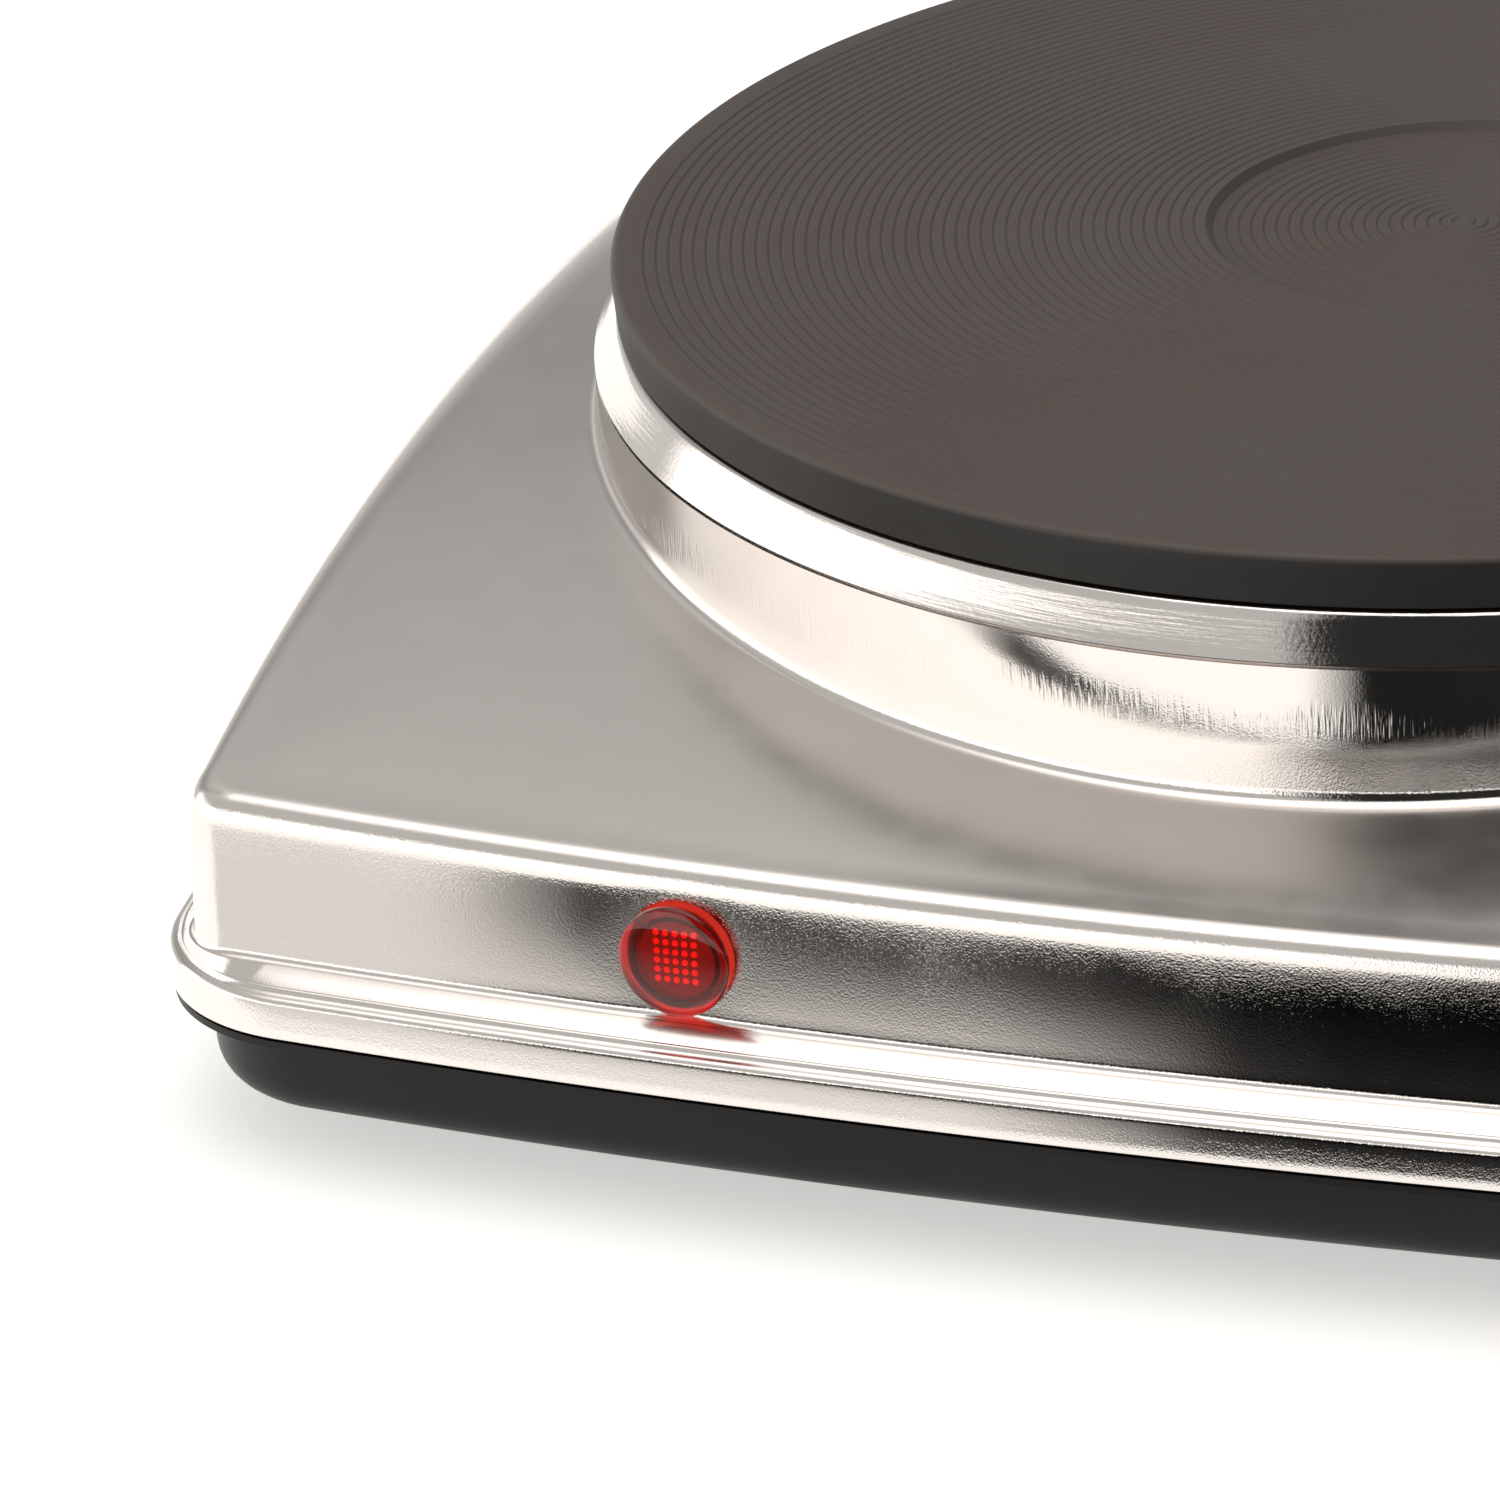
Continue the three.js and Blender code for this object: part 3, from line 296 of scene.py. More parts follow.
def place_row(piece, row, segments):
    """Puts the newest row of points where row(angle) gives a radius and a height."""
    mesh = bmesh.from_edit_mesh(piece.data)
    mesh.verts.ensure_lookup_table()
    for point in mesh.verts[-segments:]:
        angle = math.atan2(point.co.y, point.co.x)
        radius, height = row(angle) if callable(row) else row
        point.co = (radius * math.cos(angle), radius * math.sin(angle), height)
    bmesh.update_edit_mesh(piece.data)


def select_row(piece, number, segments):
    """Selects one whole row of points in edit mode."""
    bpy.ops.mesh.select_all(action="DESELECT")
    mesh = bmesh.from_edit_mesh(piece.data)
    mesh.verts.ensure_lookup_table()
    for point in mesh.verts[number * segments:(number + 1) * segments]:
        point.select = True
    mesh.select_flush(True)
    bmesh.update_edit_mesh(piece.data)


def close_pole(piece, number, segments):
    """Extrudes a row inwards and merges it at its middle."""
    select_row(piece, number, segments)
    bpy.ops.mesh.extrude_edges_move()
    bpy.ops.mesh.merge(type="CENTER")


def turned(name, rows, segments, first_pole=False, last_pole=False, loop=False, angles=None):
    """A circle, or points at given angles, extruded once for each row after the first, about +Z."""
    start_modelling()
    bpy.ops.mesh.primitive_circle_add(vertices=segments, radius=1.0, fill_type="NOTHING")
    piece = bpy.context.active_object
    piece.name = name
    piece.data.name = name
    for point, angle in zip(piece.data.vertices, angles or ()):
        point.co = (math.cos(angle), math.sin(angle), 0)
    bpy.ops.object.mode_set(mode="EDIT")
    bpy.ops.mesh.select_mode(type="VERT")
    bpy.ops.mesh.select_all(action="SELECT")
    place_row(piece, rows[0], segments)
    for row in rows[1:]:
        bpy.ops.mesh.extrude_edges_move()
        place_row(piece, row, segments)
    if last_pole:
        close_pole(piece, len(rows) - 1, segments)
    if first_pole:
        close_pole(piece, 0, segments)
    if loop:
        bpy.ops.mesh.select_all(action="DESELECT")
        bpy.ops.mesh.select_non_manifold()
        bpy.ops.mesh.bridge_edge_loops()
    bpy.ops.mesh.select_all(action="SELECT")
    bpy.ops.mesh.normals_make_consistent(inside=False)
    bpy.ops.object.mode_set(mode="OBJECT")
    return piece


def move_mesh(piece, place):
    """Moves the points and leaves the object at the origin."""
    piece.data.transform(place)
    piece.data.update()
    return piece


def copy_of(piece, name):
    twin = piece.copy()
    twin.data = piece.data.copy()
    twin.name = name
    twin.data.name = name
    bpy.context.scene.collection.objects.link(twin)
    return twin


def joined(name, pieces):
    """Several meshes as one object."""
    start_modelling()
    for piece in pieces:
        piece.select_set(True)
    bpy.context.view_layer.objects.active = pieces[0]
    bpy.ops.object.join()
    pieces[0].name = name
    pieces[0].data.name = name
    return pieces[0]


def apply_modifier(piece, kind, **settings):
    """Adds one modifier, sets it and applies it."""
    only(piece)
    modifier = piece.modifiers.new(kind.title(), kind)
    for key, value in settings.items():
        setattr(modifier, key, value)
    bpy.ops.object.modifier_apply(modifier=modifier.name)


def drilled(piece, tools):
    """Cuts the tools out of a piece and removes them."""
    tool = joined("tool", tools) if len(tools) > 1 else tools[0]
    apply_modifier(piece, "BOOLEAN", operation="DIFFERENCE", object=tool, solver="EXACT")
    bpy.data.objects.remove(tool)
    return piece


def rod(radius, low, high, segments=48):
    """A plain round tool for cutting, about its own +Z."""
    return turned("rod", [(radius, low), (radius, high)], segments, first_pole=True, last_pole=True)


def slot_tool(long, wide, low, high):
    """A round-ended tool for cutting, its length along Y."""
    tool = rod(wide / 2, low, high, 24)
    shift = (long - wide) / 2
    for point in tool.data.vertices:
        point.co.y += math.copysign(shift, point.co.y) if abs(point.co.y) > 1e-9 else 0
    return tool


def finish_piece(piece, body, nodes, material, smooth=30):
    """Shades a piece, gives it its finish and ties it to the frame."""
    piece.data.materials.clear()
    piece.data.materials.append(material)
    only(piece)
    bpy.ops.object.shade_smooth_by_angle(angle=math.radians(smooth))
    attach(piece, body)
    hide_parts(*nodes)
    return piece


def arc(steps, start=0.0, end=QUARTER):
    """Evenly spaced angles, both ends included."""
    return [start + (end - start) * step / steps for step in range(steps + 1)]


def between(low, high, steps):
    """Evenly spaced values after low, high included."""
    return [low + (high - low) * step / steps for step in range(1, steps + 1)]


# ---- Materials ---------------------------------------------------------------------------------

def add_node(tree, kind, links=None, values=None, **settings):
    """Adds a node, sets its properties and sockets, and links sockets to earlier nodes' outputs."""
    made = tree.nodes.new(kind)
    for key, value in settings.items():
        setattr(made, key, value)
    for socket, value in (values or {}).items():
        made.inputs[socket].default_value = value
    for socket, source in (links or {}).items():
        tree.links.new(source, made.inputs[socket])
    return made


def new_material(name, **values):
    """A material with one principled shader whose plain sockets are set by name."""
    made = bpy.data.materials.new(name)
    made.use_nodes = True
    shader = made.node_tree.nodes["Principled BSDF"]
    for socket, value in values.items():
        shader.inputs[socket.replace("_", " ")].default_value = value
    return made, made.node_tree, shader


def object_point(tree):
    return add_node(tree, "ShaderNodeTexCoord").outputs["Object"]


def noise(tree, point, grain, detail=3.0, roughness=0.55):
    """Noise whose features are about one grain across, a grain in metres."""
    return add_node(tree, "ShaderNodeTexNoise", {"Vector": point},
                    {"Scale": 1 / grain, "Detail": detail, "Roughness": roughness}).outputs["Fac"]


def sum_of(tree, first, second, operation="ADD"):
    links = {}
    values = {}
    for socket, item in enumerate((first, second)):
        target = values if isinstance(item, (int, float)) else links
        target[socket] = item
    return add_node(tree, "ShaderNodeMath", links, values, operation=operation).outputs[0]


def ranged(tree, value, low, high, new_low, new_high):
    return add_node(tree, "ShaderNodeMapRange", {"Value": value},
                    {"From Min": low, "From Max": high, "To Min": new_low, "To Max": new_high}).outputs[0]


def tint(tree, factor, first, second):
    mixed = add_node(tree, "ShaderNodeMix", {"Factor": factor}, data_type="RGBA")
    mixed.inputs["A"].default_value = first
    mixed.inputs["B"].default_value = second
    return mixed.outputs["Result"]


def bump(tree, height, distance, strength=1.0, normal=None):
    links = {"Height": height}
    if normal:
        links["Normal"] = normal
    values = {"Distance": distance}
    if isinstance(strength, (int, float)):
        values["Strength"] = strength
    else:
        links["Strength"] = strength
    return add_node(tree, "ShaderNodeBump", links, values).outputs["Normal"]


def polar_point(tree, radius):
    """Object coordinates unrolled round the plate's axis: arc length, height and distance from it."""
    split = add_node(tree, "ShaderNodeSeparateXYZ", {"Vector": object_point(tree)}).outputs
    across = sum_of(tree, split["Y"], AXIS_Y, "SUBTRACT")
    angle = sum_of(tree, across, split["X"], "ARCTAN2")
    around = sum_of(tree, angle, radius, "MULTIPLY")
    return around, split["Z"]


def polished_steel():
    """Pressed ferritic steel, buffed bright: a mirror with orange peel where the wall was drawn."""
    made, tree, shader = new_material("polished_steel", Base_Color=colours().steel, Metallic=1.0,
                                      Roughness=0.07)
    point = object_point(tree)
    facing = add_node(tree, "ShaderNodeTexCoord").outputs["Normal"]
    upright = add_node(tree, "ShaderNodeSeparateXYZ", {"Vector": facing}).outputs["Z"]
    level = sum_of(tree, upright, 0, "ABSOLUTE")
    drawn = ranged(tree, level, 0.1, 0.95, 1.0, 0.12)
    height = add_node(tree, "ShaderNodeSeparateXYZ", {"Vector": point}).outputs["Z"]
    drawn = sum_of(tree, drawn, ranged(tree, height, SEAM_Z - 12 * MM, SEAM_Z - 9 * MM, 1.0, 0.25), "MULTIPLY")
    peel = noise(tree, point, 0.24 * MM, 2.0)
    patches = ranged(tree, noise(tree, point, 22 * MM, 2.0), 0.35, 0.65, 0.35, 1.0)
    strength = sum_of(tree, drawn, patches, "MULTIPLY")
    waves = bump(tree, noise(tree, point, 9 * MM, 1.0), 0.25 * MM, 0.08)
    grain = bump(tree, peel, 0.04 * MM, strength, waves)
    tree.links.new(draw_marks(tree, grain), shader.inputs["Normal"])
    haze = ranged(tree, noise(tree, point, 6 * MM, 4.0), 0.3, 0.7, 0.05, 0.09)
    brushed = sum_of(tree, haze, ranged(tree, level, 0.6, 0.97, 0.0, 0.18))
    tree.links.new(brushed, shader.inputs["Roughness"])
    return made


def draw_marks(tree, normal):
    """Fine upright marks that the drawing die left low on the collar."""
    around, height = polar_point(tree, COLLAR_R)
    point = add_node(tree, "ShaderNodeCombineXYZ", {"X": around, "Z": height}).outputs[0]
    stretched = add_node(tree, "ShaderNodeMapping", {"Vector": point},
                         {"Scale": (1.0, 1.0, 0.08)}).outputs[0]
    lines = noise(tree, stretched, 0.45 * MM, 2.0)
    foot = ranged(tree, height, SEAM_Z - 3.2 * MM, SEAM_Z - 5.5 * MM, 0.0, 1.0)
    facing = add_node(tree, "ShaderNodeTexCoord").outputs["Normal"]
    upright = add_node(tree, "ShaderNodeSeparateXYZ", {"Vector": facing}).outputs["Z"]
    wall = ranged(tree, sum_of(tree, upright, 0, "ABSOLUTE"), 0.3, 0.6, 1.0, 0.0)
    inside = ranged(tree, height, SEAM_Z - 8 * MM, SEAM_Z - 7 * MM, 0.0, 1.0)
    share = sum_of(tree, sum_of(tree, foot, wall, "MULTIPLY"), inside, "MULTIPLY")
    return bump(tree, lines, 0.06 * MM, share, normal)


def spun_steel():
    """The trim ring's bright steel, spun: fine streaks run round it."""
    made, tree, shader = new_material("spun_steel", Base_Color=colours().steel, Metallic=1.0,
                                      Roughness=0.08)
    around, height = polar_point(tree, COLLAR_R)
    point = add_node(tree, "ShaderNodeCombineXYZ", {"X": around, "Z": height}).outputs[0]
    stretched = add_node(tree, "ShaderNodeMapping", {"Vector": point},
                         {"Scale": (0.03, 1.0, 1.0)}).outputs[0]
    streaks = bump(tree, noise(tree, stretched, 0.35 * MM, 3.0), 0.03 * MM, 0.8)
    peel = bump(tree, noise(tree, object_point(tree), 0.5 * MM, 2.0), 0.02 * MM, 0.5, streaks)
    tree.links.new(peel, shader.inputs["Normal"])
    return made


def coated_iron():
    """Turned grey cast iron under a fired heatproof black: matt, a little open, paler at specks, with painted
    shade on faces turned away from up.
    """
    given = colours()
    made, tree, shader = new_material("coated_iron", Base_Color=given.iron, Roughness=0.52,
                                      Specular_IOR_Level=0.45)
    point = object_point(tree)
    specks = ranged(tree, noise(tree, point, 0.5 * MM, 4.0, 0.7), 0.62, 0.74, 0.0, 0.55)
    facing = add_node(tree, "ShaderNodeTexCoord").outputs["Normal"]
    upright = add_node(tree, "ShaderNodeSeparateXYZ", {"Vector": facing}).outputs["Z"]
    # painted shade: the darker side colour takes over as faces turn from up to upright
    rim = ranged(tree, upright, 0.15, 0.75, 1.0, 0.0)
    dusty = tint(tree, specks, given.iron, given.iron_dust)
    shade = add_node(tree, "ShaderNodeMix", {"Factor": rim, "A": dusty}, data_type="RGBA")
    shade.inputs["B"].default_value = given.iron_side_shade
    clouds = ranged(tree, noise(tree, point, 30 * MM, 3.0), 0.3, 0.7, 0.46, 0.6)
    sand = bump(tree, noise(tree, point, 0.3 * MM, 5.0, 0.7), 0.05 * MM, 0.6)
    tree.links.new(shade.outputs["Result"], shader.inputs["Base Color"])
    tree.links.new(clouds, shader.inputs["Roughness"])
    tree.links.new(sand, shader.inputs["Normal"])
    return made


def grained(name, shade, grain, depth, rough, spread=0.08, darker=0.8, **values):
    """A plain finish with fine grain in its height, its roughness and its shade."""
    made, tree, shader = new_material(name, Base_Color=shade, Roughness=rough, **values)
    point = object_point(tree)
    fine = noise(tree, point, grain, 4.0)
    broad = noise(tree, point, grain * 24, 3.0)
    low = (*[share * darker for share in shade[:3]], 1.0)
    tree.links.new(tint(tree, ranged(tree, broad, 0.35, 0.65, 0.0, 1.0), low, tuple(shade)),
                   shader.inputs["Base Color"])
    tree.links.new(ranged(tree, broad, 0.3, 0.7, rough - spread, rough + spread), shader.inputs["Roughness"])
    tree.links.new(bump(tree, fine, depth, 0.7), shader.inputs["Normal"])
    return made


def stove_enamel():
    """Black stove enamel on steel: satin, with a soft orange peel."""
    return grained("stove_enamel", colours().enamel, 0.7 * MM, 0.02 * MM, 0.42,
                   Specular_IOR_Level=0.3)


def phenolic():
    """Moulded phenolic: near black, a faint eggshell texture."""
    return grained("phenolic", colours().plastic, 0.25 * MM, 0.02 * MM, 0.42)


def nylon():
    """Moulded black nylon: a finer, duller skin than the knob's."""
    return grained("nylon", colours().plastic, 0.18 * MM, 0.03 * MM, 0.5)


def inlay_paint():
    """White paint filled into the knob's groove."""
    return grained("inlay_paint", colours().inlay, 0.2 * MM, 0.01 * MM, 0.45, darker=0.94)


def foot_rubber():
    """Moulded rubber: matt, with a dusty bloom."""
    return grained("foot_rubber", colours().rubber, 0.3 * MM, 0.05 * MM, 0.8)


def zinc_plate():
    """Zinc-plated steel: pale grey metal with cloudy brightness."""
    return grained("zinc_plate", colours().zinc, 0.4 * MM, 0.02 * MM, 0.36, Metallic=1.0)


def turned_brass():
    """Turned brass: warm metal with fine tool marks."""
    return grained("turned_brass", colours().brass, 0.2 * MM, 0.02 * MM, 0.3, Metallic=1.0)


def steatite():
    """Unglazed steatite: chalky pale ceramic."""
    return grained("steatite", colours().ceramic, 0.3 * MM, 0.03 * MM, 0.75, darker=0.92)


def bulb_glass():
    """Thin clear glass of the neon bulb."""
    made, tree, shader = new_material("bulb_glass", Base_Color=linear("#FFE9DC"), Roughness=0.02,
                                      Transmission_Weight=1.0, IOR=1.5)
    streaks = bump(tree, noise(tree, object_point(tree), 2 * MM, 2.0), 0.05 * MM, 0.3)
    tree.links.new(streaks, shader.inputs["Normal"])
    return made


def braided_sleeve(name, shade):
    """Braided glass-fibre sleeve: crossing strands about half a millimetre wide."""
    made, tree, shader = new_material(name, Base_Color=shade, Roughness=0.8, Sheen_Weight=0.2)
    point = object_point(tree)
    strands = [add_node(tree, "ShaderNodeTexWave", {"Vector": add_node(
        tree, "ShaderNodeMapping", {"Vector": point}, {"Rotation": (0.4, lean, lean)}).outputs[0]},
        {"Scale": 0.16 / MM, "Distortion": 0.5}).outputs["Fac"] for lean in (0.78, -0.78)]
    braid = sum_of(tree, strands[0], strands[1], "MAXIMUM")
    low = (*[share * 0.6 for share in shade[:3]], 1.0)
    tree.links.new(tint(tree, braid, low, tuple(shade)), shader.inputs["Base Color"])
    tree.links.new(bump(tree, braid, 0.1 * MM, 0.8), shader.inputs["Normal"])
    return made


def red_polycarbonate():
    """Clear red polycarbonate, moulded glossy with a faint flow line."""
    made, tree, shader = new_material("red_polycarbonate", Base_Color=colours().lens, Roughness=0.03,
                                      Transmission_Weight=0.92, IOR=1.58)
    flow = bump(tree, noise(tree, object_point(tree), 5 * MM, 1.0), 0.05 * MM, 0.3)
    tree.links.new(flow, shader.inputs["Normal"])
    return made


def red_reflector(name, code, glow):
    """Moulded red behind the lens; its emission is painted light that stands in for daylight coming through the
    lens.
    """
    made, tree, shader = new_material(name, Base_Color=linear(code), Roughness=0.3,
                                      Emission_Color=linear(code), Emission_Strength=glow)
    tone = noise(tree, object_point(tree), 1.2 * MM, 2.0)
    tree.links.new(ranged(tree, tone, 0.3, 0.7, 0.2, 0.4), shader.inputs["Roughness"])
    return made


INNER_FINISHES = {
    "zinc_plate": ("zinc_steel", zinc_plate),
    "turned_brass": ("brass", turned_brass),
    "steatite": ("ceramic", steatite),
    "nylon": ("black_plastic", nylon),
    "inlay_paint": ("white_plastic", inlay_paint),
    "bulb_glass": ("clear_glass", bulb_glass),
}


# ---- Pieces ------------------------------------------------------------------------------------

def shell_rows(outline):
    """Outer face of the shell from the lip's bottom edge to the collar's top."""
    given = sizes()
    hem = given.hem_round
    turn = given.lip_round
    cove = given.wall_cove
    ledge = outline.ledge
    wall = outline.half

    def flat(half, height, depth=0.0):
        return lambda angle: (outline.radius(angle, half, depth), height)

    def ledge_row(share, lift=0.0):
        def row(angle):
            low = outline.radius(angle, LIP_HALF, turn)
            high = outline.radius(angle, wall + cove)
            return low + (high - low) * share, outline.ledge_low + given.ledge_fall * share + lift
        return row

    def wall_row(share):
        def row(angle):
            y = outline.radius(angle, wall, given.wall_draft) * math.sin(angle)
            high = outline.arch(y) - outline.shoulder(y)
            reach = outline.radius(angle, wall, given.wall_draft * share)
            return reach, ledge + cove + (high - ledge - cove) * share
        return row

    def shoulder_row(step):
        def row(angle):
            outer = outline.radius(angle, wall, given.wall_draft)
            y = outer * math.sin(angle)
            bend = outline.shoulder(y)
            return outer - bend * (1 - math.cos(step)), outline.arch(y) - bend * (1 - math.sin(step))
        return row

    def top_row(share):
        def row(angle):
            outer = outline.radius(angle, wall, given.wall_draft)
            start = outer - outline.shoulder(outer * math.sin(angle))
            radius = start + (COLLAR_R + given.collar_fillet - start) * share
            edge_blend = (1 - share) ** 3
            height = outline.arch(radius * math.sin(angle))
            level = outline.arch(outer * math.sin(angle))
            return radius, height + (level - outline.arch(start * math.sin(angle))) * edge_blend
        return row

    def fillet_row(step):
        def row(angle):
            fillet = given.collar_fillet
            foot = outline.arch((COLLAR_R + fillet) * math.sin(angle))
            return COLLAR_R + fillet * (1 - math.sin(step)), foot + fillet * (1 - math.cos(step))
        return row

    def collar_row(share):
        def row(angle):
            foot = outline.arch((COLLAR_R + given.collar_fillet) * math.sin(angle)) + given.collar_fillet
            return COLLAR_R, foot + (SEAM_Z - foot) * share
        return row

    rows = [flat(LIP_HALF, LIP_BOTTOM + hem * (1 - math.cos(step)), hem * (1 - math.sin(step)))
            for step in arc(3)]
    rows += [flat(LIP_HALF, height) for height in between(LIP_BOTTOM + hem, outline.ledge_low - turn, 3)]
    rows += [flat(LIP_HALF, outline.ledge_low - turn * (1 - math.sin(step)), turn * (1 - math.cos(step)))
             for step in arc(6)[1:]]
    rows += [ledge_row(share, given.bead_height * lift)
             for share, lift in ((0.12, 0), (0.17, 0.7), (0.22, 1), (0.27, 0.7), (0.32, 0), (1, 0))]
    rows += [flat(wall + cove * (1 - math.sin(step)), ledge + cove * (1 - math.cos(step)))
             for step in arc(6)[1:]]
    rows += [wall_row(share) for share in between(0, 1, 14)]
    rows += [shoulder_row(step) for step in arc(9)[1:]]
    rows += [top_row(share) for share in between(0, 1, 9)]
    rows += [fillet_row(step) for step in arc(6)[1:]]
    rows += [collar_row(share) for share in between(0, 1, 4)]
    return rows


def press_dish(piece, place):
    """Presses a shallow dish into the wall round a fitting."""
    given = sizes()
    back = place.inverted()
    for point in piece.data.vertices:
        local = back @ point.co
        reach = math.hypot(local.x, local.y)
        if reach < given.lamp_dish_reach and abs(local.z) < given.wall_cove:
            share = (1 + math.cos(math.pi * reach / given.lamp_dish_reach)) / 2
            local.z -= given.lamp_dish * share
            point.co = place @ local


def fitting_places(outline):
    """Places of the lamp, the knob and the gland on the walls."""
    lamp = middle("lamp_lens")
    gland = middle("cord_gland")
    knob = Vector(KNOB_JOINT["pos_m"])
    return {
        "lamp": outline.wall_place(middle("lamp_clip").x, lamp.z),
        "knob": outline.wall_place(knob.x, knob.z),
        "gland": outline.wall_place(gland.x, gland.z, back=True),
    }


def build_shell():
    given = sizes()
    outline = Outline()
    places = fitting_places(outline)
    angles = outline.angles(48, 24)
    piece = turned("polished_shell", shell_rows(outline), len(angles), angles=angles)
    move_mesh(piece, Matrix.Translation((0, AXIS_Y, 0)))
    press_dish(piece, places["lamp"])
    apply_modifier(piece, "SOLIDIFY", thickness=given.sheet, offset=-1.0, use_even_offset=True)
    bores = {"lamp": given.lens_body, "knob": 4.8 * MM, "gland": given.gland_body}
    tools = [move_mesh(rod(bore + given.gap, -4 * MM, 4 * MM), places[name]) for name, bore in bores.items()]
    drilled(piece, tools)
    finish_piece(piece, "housing", ["shell"], polished_steel(), 32)


def build_ring():
    given = sizes()
    low = SEAM_Z + given.gap
    high = RING_HIGH.z
    top = PLATE_R - given.plate_taper
    inner = PLATE_R - 3.1 * MM + given.gap
    inside = COLLAR_R - given.sheet - given.gap
    rows = [
        (COLLAR_R - 1.6 * MM, low - 3 * MM), (inside, low - 3 * MM), (inside, low),
        (COLLAR_R - 0.15 * MM, low), (COLLAR_R, low + 0.15 * MM),
        *[(COLLAR_R + (top - COLLAR_R) * share, low + (high - low) * share) for share in between(0.1, 0.93, 6)],
        (top - 0.05 * MM, high - 0.12 * MM), (top - 0.25 * MM, high), (inner, high), (inner, high - 0.7 * MM),
        (top - 1 * MM, high - 0.7 * MM), (COLLAR_R - 1.6 * MM, low + 0.8 * MM),
    ]
    piece = turned("spun_trim_ring", rows, 360, loop=True)
    move_mesh(piece, Matrix.Translation((0, AXIS_Y, 0)))
    finish_piece(piece, "housing", ["trim_ring"], spun_steel(), 32)


def groove_rows(start, end, top):
    """Lands with V grooves between them, from one radius inwards to another."""
    given = sizes()
    number = round((start - end) / given.groove_pitch)
    pitch = (start - end) / number
    rows = []
    for index in range(number):
        outer = start - index * pitch
        rows += [(outer - 0.62 * pitch, top), (outer - 0.81 * pitch, top - given.groove_depth),
                 (outer - pitch, top)]
    return rows


def build_plate():
    given = sizes()
    top = PLATE_TOP
    sunk = top - given.recess_depth
    rim_low = top - given.plate_rim
    skirt = PLATE_R - 3.1 * MM
    skirt_low = rim_low - given.skirt_depth
    pocket = skirt - given.skirt_wall
    under = sunk - given.web
    edge = 0.9 * MM
    land = PLATE_R - given.plate_land
    rows = [
        (pocket, under), (pocket, skirt_low), (skirt, skirt_low), (skirt, rim_low),
        (PLATE_R - given.plate_taper - 0.3 * MM, rim_low), (PLATE_R - given.plate_taper, rim_low + 0.3 * MM),
        (PLATE_R - 0.1 * MM, top - 2 * MM), (PLATE_R, top - edge),
        *[(PLATE_R - edge * (1 - math.cos(step)), top - edge * (1 - math.sin(step))) for step in arc(5)[1:]],
        (land, top),
    ]
    rows += groove_rows(land, given.recess + 0.9 * MM, top)
    rows += [(given.recess, top), (given.recess - 0.8 * MM, sunk)]
    rows += groove_rows(given.recess - 1.2 * MM, 1.0 * MM, sunk)
    piece = turned("grooved_plate", rows, 256, first_pole=True, last_pole=True)
    move_mesh(piece, Matrix.Translation((0, AXIS_Y, 0)))
    finish_piece(piece, "housing", ["hot_plate"], coated_iron(), 25)


def build_pan():
    given = sizes()
    outline = Outline()
    inset = given.pan_inset
    turn = given.pan_round

    def flat(height, depth=0.0):
        return lambda angle: (outline.radius(angle, LIP_HALF, inset + depth), height)

    def inward(share, height):
        return lambda angle: (outline.radius(angle, LIP_HALF, inset + turn) * share, height)

    rows = [inward(share, PAN_BOTTOM) for share in (0.1, 0.5)]
    rows += [flat(PAN_BOTTOM + turn * (1 - math.cos(step)), turn * (1 - math.sin(step))) for step in arc(8)]
    rows += [flat(height) for height in between(PAN_BOTTOM + turn, PAN_TOP - 2 * given.sheet, 3)]
    rows += [flat(PAN_TOP - 1.25 * given.sheet, -0.25 * MM), flat(PAN_TOP - given.sheet, -0.8 * MM)]
    rows += [flat(height, given.gap - inset) for height in (PAN_TOP - given.sheet, PAN_TOP)]
    small = turn - given.sheet
    rows += [flat(PAN_TOP, given.sheet)]
    rows += [flat(PAN_BOTTOM + turn - small * math.sin(step), given.sheet + small * (1 - math.cos(step)))
             for step in arc(5)]
    rows += [inward(share, PAN_BOTTOM + given.sheet) for share in (0.5, 0.1)]
    angles = outline.angles(30, 18)
    piece = turned("enamelled_pan", rows, len(angles), first_pole=True, last_pole=True, angles=angles)
    tools = []
    for index in range(given.vents):
        tool = slot_tool(given.vent_length, given.vent_width, PAN_BOTTOM - 3 * MM, PAN_BOTTOM + 4 * MM)
        turn_tool = Matrix.Rotation((index + 0.5) * 2 * math.pi / given.vents, 4, "Z")
        tools.append(move_mesh(tool, turn_tool @ Matrix.Translation((given.vent_ring, 0, 0))))
    for node in ("earth_screw", "block_screw"):
        spot = middle(node) - Vector((0, AXIS_Y, 0))
        tools.append(move_mesh(rod(2.1 * MM, 0, PAN_BOTTOM + 4 * MM), Matrix.Translation((spot.x, spot.y, 0))))
    drilled(piece, tools)
    move_mesh(piece, Matrix.Translation((0, AXIS_Y, 0)))
    finish_piece(piece, "housing", ["base_pan"], stove_enamel(), 32)


def build_lamp():
    given = sizes()
    place = fitting_places(Outline())["lamp"]
    radius = given.lens_radius
    crown = given.lens_crown
    side = 0.95 * MM
    base = given.gap
    rows = [(radius * math.sin(step), side + (crown - side) * math.cos(step)) for step in arc(10)[1:]]
    rows += [(radius, base + 0.1 * MM), (radius - 0.1 * MM, base), (given.lens_body, base)]
    inside = given.lens_body - 0.7 * MM
    rows += [(given.lens_body, -8 * MM), (inside, -8 * MM), (inside, -0.3 * MM)]
    lens = turned("lamp_dome", rows, 96, first_pole=True, last_pole=True)
    move_mesh(lens, place)
    finish_piece(lens, "housing", ["lamp_lens"], red_polycarbonate(), 40)
    build_window(place)


def dimple():
    """One ring-shaped dimple of the lens's prism."""
    rows = [(0.34 * MM, 0), (0.3 * MM, 0.1 * MM), (0.22 * MM, 0.12 * MM), (0.14 * MM, 0.02 * MM)]
    return turned("dimple", rows, 10, first_pole=True, last_pole=True)


